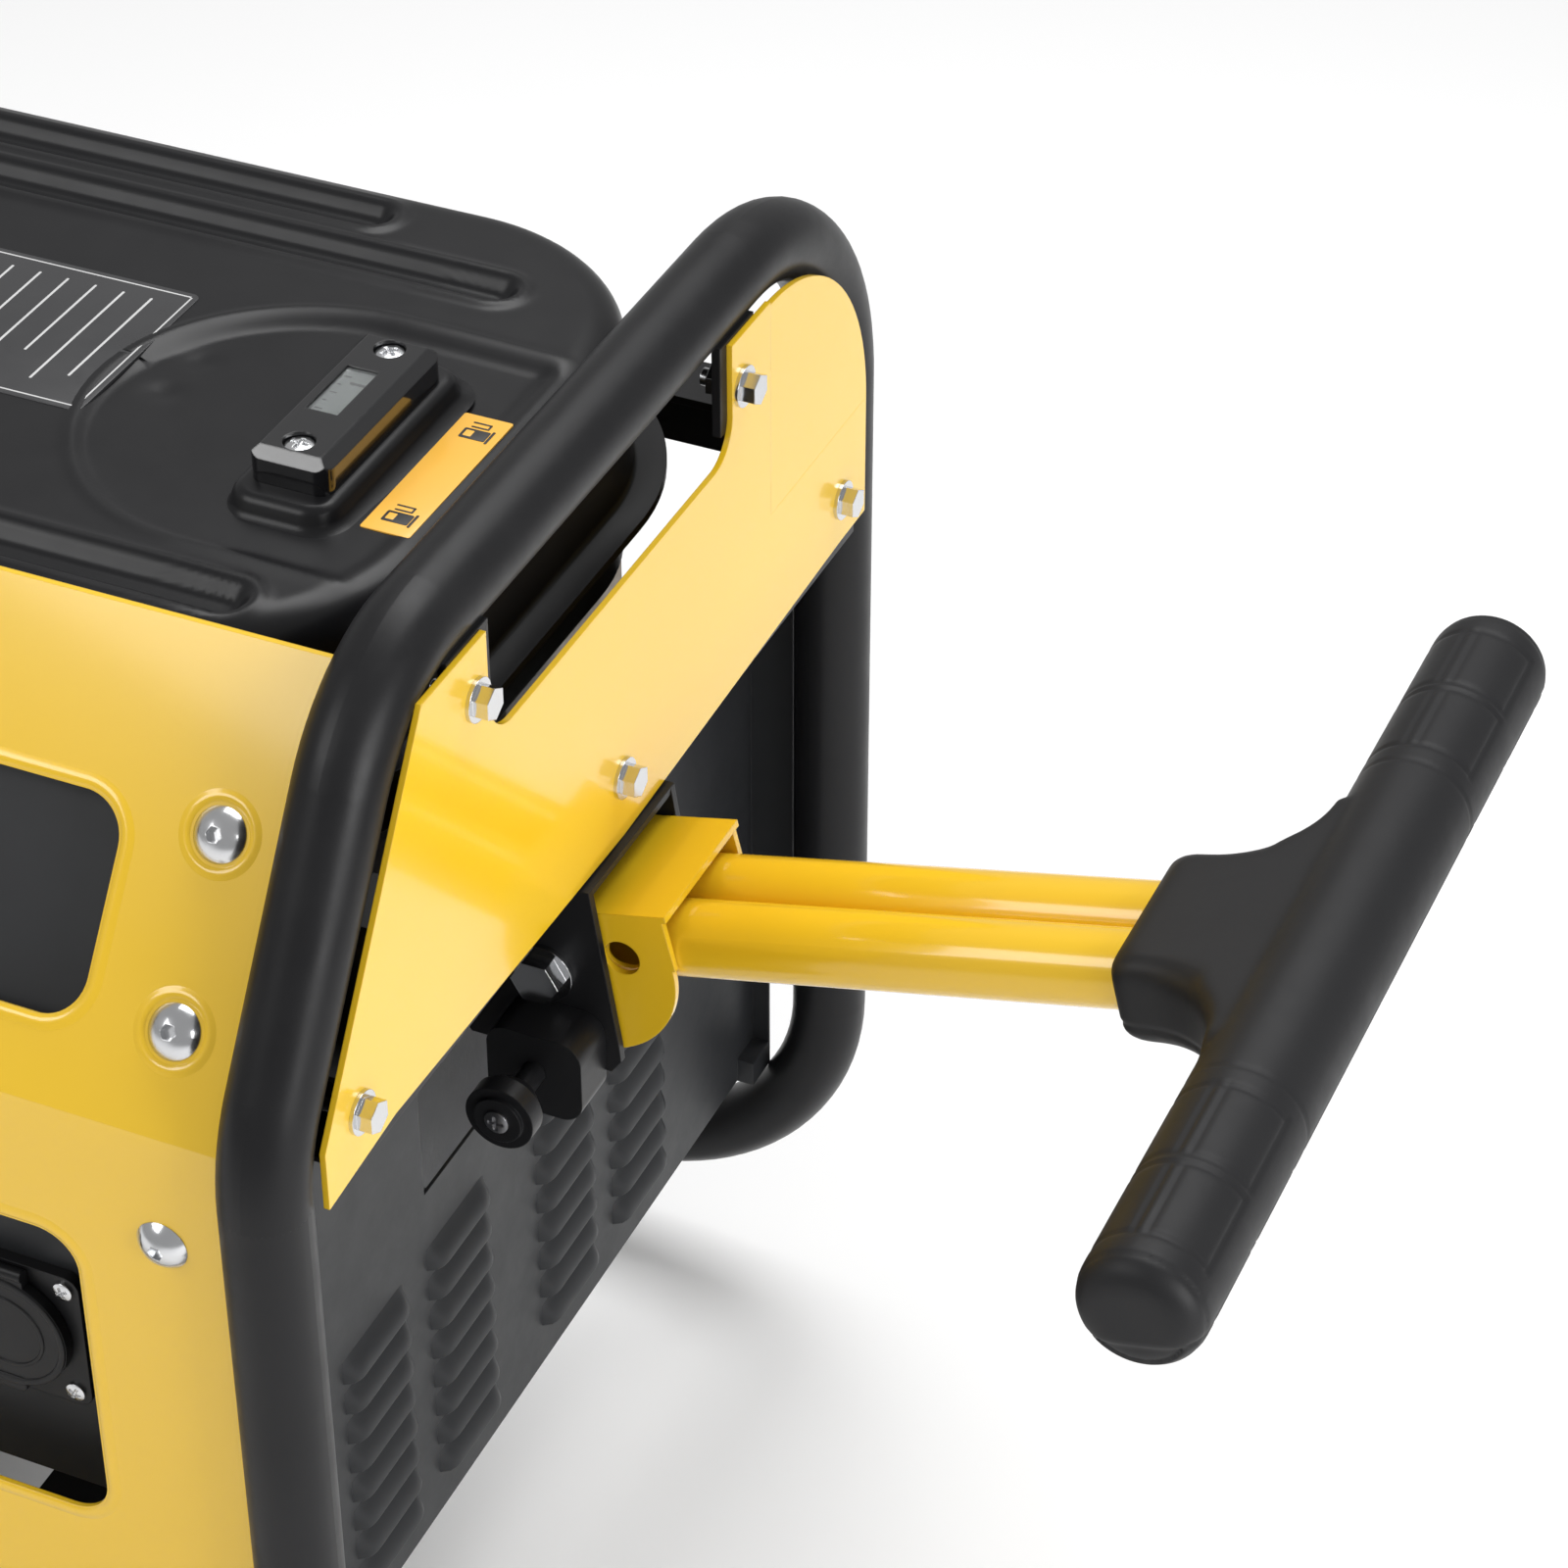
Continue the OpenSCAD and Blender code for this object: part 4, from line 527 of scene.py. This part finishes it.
# plain data label: a border and blank rules, no lettering
label_x0, label_x1, label_y0, label_y1 = PLATE_X - 300, PLATE_X - 174, -25, 52
label_top = DECK_Z + 0.25
label = Shape()
label.add(*plate(label_x0, label_x1, label_y0, label_y1, 3, DECK_Z - 1, label_top, 0.1))
label.piece("data_label", LABEL)
rules = Shape()
border = (
    (label_x0 + 2, label_x1 - 2, label_y0 + 2, label_y0 + 2.6),
    (label_x0 + 2, label_x1 - 2, label_y1 - 2.6, label_y1 - 2),
    (label_x0 + 2, label_x0 + 2.6, label_y0 + 2, label_y1 - 2),
    (label_x1 - 2.6, label_x1 - 2, label_y0 + 2, label_y1 - 2),
)
for x0, x1, y0, y1 in border:
    rules.add(*plate(x0, x1, y0, y1, 0.2, label_top, label_top + 0.08, 0.02))
rule_end = label_y1 - 8
for row, length in enumerate((52, 58, 44, 60, 50, 38, 56, 47, 60, 42)):
    x = label_x1 - 14 - row * 10.5
    rules.add(*plate(x - 0.45, x + 0.45, rule_end - length, rule_end, 0.3, label_top, label_top + 0.08, 0.02))
rules.piece("data_label_rules", PRINT)

# ---------------------------------------------------------------- louvres on the end cover
LOUVRE_Y = (-99, -40, 40, 99)
LOUVRE_LO, LOUVRE_PITCH, LOUVRE_ROWS = KINK_Z - 276, 13.7, 8
HOOD_W, HOOD_OUT, HOOD_H = 43, 4.6, 10.2


def louvre_hood(y, slot_z):
    """Pressed hood over one slot: an outer skin, its lip, and an inner skin 1 mm behind it."""
    cols, rows, lip = 21, 9, 0.9
    verts = []
    for r in range(rows):
        v = r / (rows - 1)
        for c in range(cols):
            u = -HOOD_W / 2 + HOOD_W * c / (cols - 1)
            over = max(abs(u) - 13.5, 0) / 8
            swell = math.sqrt(max(0.0, 1 - over * over))
            out = HOOD_OUT * swell * math.sin(min(v, lip) / lip * math.pi / 2) ** 1.2
            drop = HOOD_H * (v if v < lip else lip + (v - lip) * 0.3)
            verts.append((COVER_X + out - 0.05, y + u, slot_z + 9.4 - drop))
    for c in range(cols):
        x, vy, vz = verts[(rows - 1) * cols + c]
        verts.append((max(COVER_X - 0.9, x - 1.0), vy, vz + 0.1))
    for r in reversed(range(rows - 1)):
        for c in range(cols):
            x, vy, vz = verts[r * cols + c]
            verts.append((x - 1.0, vy, vz))
    return verts, grid_faces(2 * rows, cols)


hoods = Shape()
for y in LOUVRE_Y:
    for i in range(LOUVRE_ROWS):
        hoods.add(*louvre_hood(y, LOUVRE_LO + i * LOUVRE_PITCH))
hoods.piece("louvre_hoods", COVER_BLACK, sharp=50)

# ---------------------------------------------------------------- grip
HANDLE = at(*PIVOT) @ Matrix.Rotation(math.radians(-TILT), 4, "Y")
GRIP_R, GRIP_HALF = 19.6, 172


def fillet_outline():
    """One half of the T's plan, from the collar over the fillet to the bar."""
    radius, half = 34, 32
    inner = GRIP_S - 17
    pts = [(198, half - 5), (200, half - 1.5), (204, half)]
    cx, cy = inner - radius, half + radius
    for k in range(13):
        a = math.radians(-90 + 90 * k / 12)
        pts.append((cx + radius * math.cos(a), cy + radius * math.sin(a)))
    pts.append((GRIP_S, half + radius + 4))
    return pts


def groove(offset, width):
    """Depth profile of a narrow moulded groove: 1 in its middle."""
    return math.exp(-((offset / width) ** 2))


def grip_bar():
    """The round bar of the T, with rounded ends."""
    rounding, profile = 9, [(0.05, -GRIP_HALF)]
    for k in range(7):
        a = math.pi / 2 * k / 6
        r = GRIP_R - rounding + rounding * math.sin(a)
        profile.append((r, -GRIP_HALF + rounding - rounding * math.cos(a)))
    profile += [(r, -z) for r, z in reversed(profile)]
    return lathe(profile, 64)


def grip_web():
    """The flat web between collar and bar, in soft-edged layers."""
    side = fillet_outline()
    outline = side + [(x, -y) for x, y in reversed(side)]
    layers, thick, soft = [], 16.5, 8
    for k in range(7):
        a = math.pi / 2 * k / 6
        layers.append((soft * (1 - math.sin(a)), -thick + soft - soft * math.cos(a)))
    layers += [(inset, -z) for inset, z in reversed(layers)]
    verts = []
    for inset, z in layers:
        for x, y in outline:
            narrow = 1 - inset / (75 if abs(y) > 40 else 34)
            verts.append((GRIP_S - (GRIP_S - x) * (1 - inset / 62), y * narrow, z))
    n = len(outline)
    faces = grid_faces(len(layers), n, closed=True)
    faces += [tuple(range(n))[::-1], tuple((len(layers) - 1) * n + i for i in range(n))]
    return verts, faces


def groove_depth(p):
    """Depth of the pad outlines, rings and parting line at a point of the grip."""
    y = abs(p.y)
    a = math.degrees(math.atan2(p.z, p.x - GRIP_S))
    cut = 0.0
    if 87 < y < 158:
        for ring_y in (89, 121, 125, 156):
            ends = smooth_step((abs(a) - 20) / 4)
            cut = max(cut, 0.55 * groove(y - ring_y, 0.9) * ends * smooth_step((160 - abs(a)) / 4))
        for edge_a in (24, 84, 96, 156):
            off = math.radians(abs(a) - edge_a) * GRIP_R
            clear = smooth_step((min(abs(y - 89), abs(y - 156), abs(y - 123) - 1) + 0.5) / 1.5)
            cut = max(cut, 0.5 * groove(off, 0.9) * clear)
    if y > 62:
        for ring_y in (80, 165):
            cut = max(cut, 0.35 * groove(y - ring_y, 0.8))
    if y < GRIP_HALF - 2:
        cut = max(cut, 0.6 * groove(p.z + 8, 0.9))
    elif p.z < -8:
        cut = max(cut, 0.9 * smooth_step((-8 - p.z) / 1.2))
    return cut


def make_grip():
    """Bar and web fused by a voxel remesh, softened, then grooved along their normals."""
    raw = Shape()
    raw.add(*grip_bar(), turned(GRIP_S, 0, 0, "X", -90))
    raw.add(*grip_web())
    blank = mesh_piece("grip_blank", raw.verts, raw.faces, GRIP_BLACK, None)
    remesh = blank.modifiers.new("fuse", "REMESH")
    remesh.mode = "VOXEL"
    remesh.voxel_size = 1.15 * MM
    soften = blank.modifiers.new("soften", "SMOOTH")
    soften.factor = 0.5
    soften.iterations = 14
    depsgraph = bpy.context.evaluated_depsgraph_get()
    mesh = bpy.data.meshes.new_from_object(blank.evaluated_get(depsgraph))
    bpy.data.objects.remove(blank)
    normals = [v.normal.copy() for v in mesh.vertices]
    for v, normal in zip(mesh.vertices, normals):
        v.co = v.co - normal * (groove_depth(v.co / MM) * MM)
    place = Matrix.Translation(HANDLE.translation * MM) @ HANDLE.to_3x3().to_4x4() @ at(0, 0, ARM_LIFT * MM)
    mesh.transform(place)
    mesh.shade_smooth()
    mesh.materials.clear()
    mesh.materials.append(GRIP_BLACK)
    grip = bpy.data.objects.new("t_grip_moulding", mesh)
    bpy.context.scene.collection.objects.link(grip)
    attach(grip, "handle")
    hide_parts("grip_shell_upper", "grip_shell_lower")


make_grip()

# ---------------------------------------------------------------- dished rings under the panel bolts
RINGED_BOLTS = [(x, z) for x in (PLATE_X - 53, PLATE2_X + 53) for z in (KINK_Z + 69, KINK_Z + 21)]


def face_y(z):
    return PANEL_Y + max(0, z - PANEL_KINK) * SLOPE


def on_panel(x, z):
    """Frame on the panel's outer face: local Z points out of it."""
    lean = math.degrees(LEAN) if z > PANEL_KINK else 0
    return at(x, face_y(z), z) @ Matrix.Rotation(math.radians(90 - lean), 4, "X")


rings = Shape()
RING_PROFILE = [(9.4, -0.1), (9.8, 0.15), (10.6, 0.5), (11.4, 0.62), (12.2, 0.4), (13.2, 0.05), (13.8, -0.1)]
for x, z in RINGED_BOLTS:
    rings.add(*lathe(RING_PROFILE, 64), on_panel(x, z))
rings.piece("panel_bolt_rings", YELLOW, sharp=60)

# soft beads pressed round the two windows of the panel
BEAD = ((0.4, -0.15), (0.9, 0.25), (1.8, 0.55), (2.8, 0.62), (3.8, 0.4), (4.8, 0.08), (5.6, -0.15))


def window_bead(x0, x1, y0, y1, r):
    verts = []
    for out, height in BEAD:
        verts += [(x, y, height) for x, y in round_rect(x0 - out, x1 + out, y0 - out, y1 + out, r + out, 10)]
    return verts, grid_faces(len(BEAD), len(verts) // len(BEAD), closed=True)


beads = Shape()
middle = WINDOW_Z + WINDOW_H / 2
half_up = WINDOW_H / 2 / math.cos(LEAN)
beads.add(*window_bead(WINDOW_X0, WINDOW_X1, -half_up, half_up, WINDOW_R), on_panel(0, middle))
middle = WINDOW2_Z + WINDOW2_H / 2
beads.add(*window_bead(WINDOW_X0, WINDOW_X1, -WINDOW2_H / 2, WINDOW2_H / 2, WINDOW_R), on_panel(0, middle))
beads.piece("window_beads", YELLOW, sharp=70)

# ---------------------------------------------------------------- socket screws and lid ribs
SOCKET_Z = KINK_Z - 120
SOCKET_FACE = PANEL_Y + 16
RIGHT_X, LEFT_X = PLATE_X - 124, PLATE_X - 200
socket_screws = Shape()
for x in (RIGHT_X, LEFT_X):
    for dx, dz in ((21.5, 21.5), (-21.5, -21.5), (21.5, -21.5), (-21.5, 21.5)):
        spin = Matrix.Rotation(dx * dz, 4, "Z")
        screw_place = turned(x + dx, SOCKET_FACE, SOCKET_Z + dz, "X", 90) @ spin
        socket_screws.add(*cross_head(3.4, 0.9, 0.7, 0.9), screw_place)
socket_screws.piece("socket_screws", ZINC, sharp=25)
for lid_name, body, x in (("lid_ribs_right", "lid_right", RIGHT_X), ("lid_ribs_left", "lid_left", LEFT_X)):
    ribs = Shape()
    outward = turned(x, SOCKET_FACE - 4, SOCKET_Z, "X", 90)
    ribs.add(*lathe([(19.5, -0.3), (20, 0.5), (21, 0.8), (22, 0.5), (22.4, -0.3)], 64), outward)
    ribs.add(*lathe([(13.0, -0.3), (13.4, 0.4), (14.4, 0.4), (14.8, -0.3)], 64), outward)
    ribs.add(*plate(-6, 6, -24.5, -19, 2, -3, 0.6, 0.5), outward)
    ribs.piece(lid_name, PLASTIC, body)

# ---------------------------------------------------------------- cross head in the lock knob
knob_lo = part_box("lock_knob")[0] / MM
knob_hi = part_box("lock_knob")[1] / MM
knob_x, knob_z = (knob_lo[0] + knob_hi[0]) / 2, (knob_lo[2] + knob_hi[2]) / 2
knob_screw = Shape()
knob_screw.add(*cross_head(4.2, 0.8, 0.8, 1.0), turned(knob_x, knob_lo[1], knob_z, "X", 90))
knob_screw.piece("knob_screw", DARK_STEEL, "lock_plunger", sharp=25)

# ---------------------------------------------------------------- stage, light, camera
floor = bpy.data.objects.new("floor", bpy.data.meshes.new("floor"))
floor.data.from_pydata([(-9, -9, 0), (9, -9, 0), (9, 9, 0), (-9, 9, 0)], [], [(0, 1, 2, 3)])
floor_mat, _, floor_bsdf = new_material("pale_floor")
floor_bsdf.inputs["Base Color"].default_value = (0.94, 0.94, 0.94, 1)
floor_bsdf.inputs["Roughness"].default_value = 0.9
floor.data.materials.append(floor_mat)
bpy.context.scene.collection.objects.link(floor)

world = bpy.data.worlds.new("studio")
world.use_nodes = True
world.node_tree.nodes["Background"].inputs["Color"].default_value = (1, 1, 1, 1)
world.node_tree.nodes["Background"].inputs["Strength"].default_value = 0.42
bpy.context.scene.world = world


def area_light(name, location, target, size, power):
    data = bpy.data.lights.new(name, "AREA")
    data.shape = "RECTANGLE"
    data.size, data.size_y = size
    data.energy = power
    obj = bpy.data.objects.new(name, data)
    obj.location = location
    obj.rotation_euler = (Vector(target) - Vector(location)).to_track_quat("-Z", "Y").to_euler()
    bpy.context.scene.collection.objects.link(obj)


area_light("key", (-1.1, -1.5, 1.9), (0, 0, 0.35), (1.3, 0.9), 20)
area_light("top", (0.2, 0.9, 2.1), (0.1, 0, 0.4), (1.6, 1.0), 30)
area_light("right", (1.8, -0.6, 0.9), (0.2, 0, 0.3), (0.9, 0.9), 22)

camera_data = bpy.data.cameras.new("camera")
camera_data.lens = 101.2
camera_data.sensor_width = 36
camera_data.clip_start, camera_data.clip_end = 0.05, 50
camera = bpy.data.objects.new("camera", camera_data)
azimuth, elevation = math.radians(23.9), math.radians(37.0)
level = math.cos(elevation)
back = Vector((math.sin(azimuth) * level, -math.cos(azimuth) * level, math.sin(elevation)))
camera.location = Vector((PLATE_X + 501.7, -1005.5, KINK_Z + 843.3)) * MM
camera.rotation_mode = "QUATERNION"
camera.rotation_quaternion = (-back).to_track_quat("-Z", "Y")
bpy.context.scene.collection.objects.link(camera)
bpy.context.scene.camera = camera
bpy.context.scene.view_settings.view_transform = "Standard"
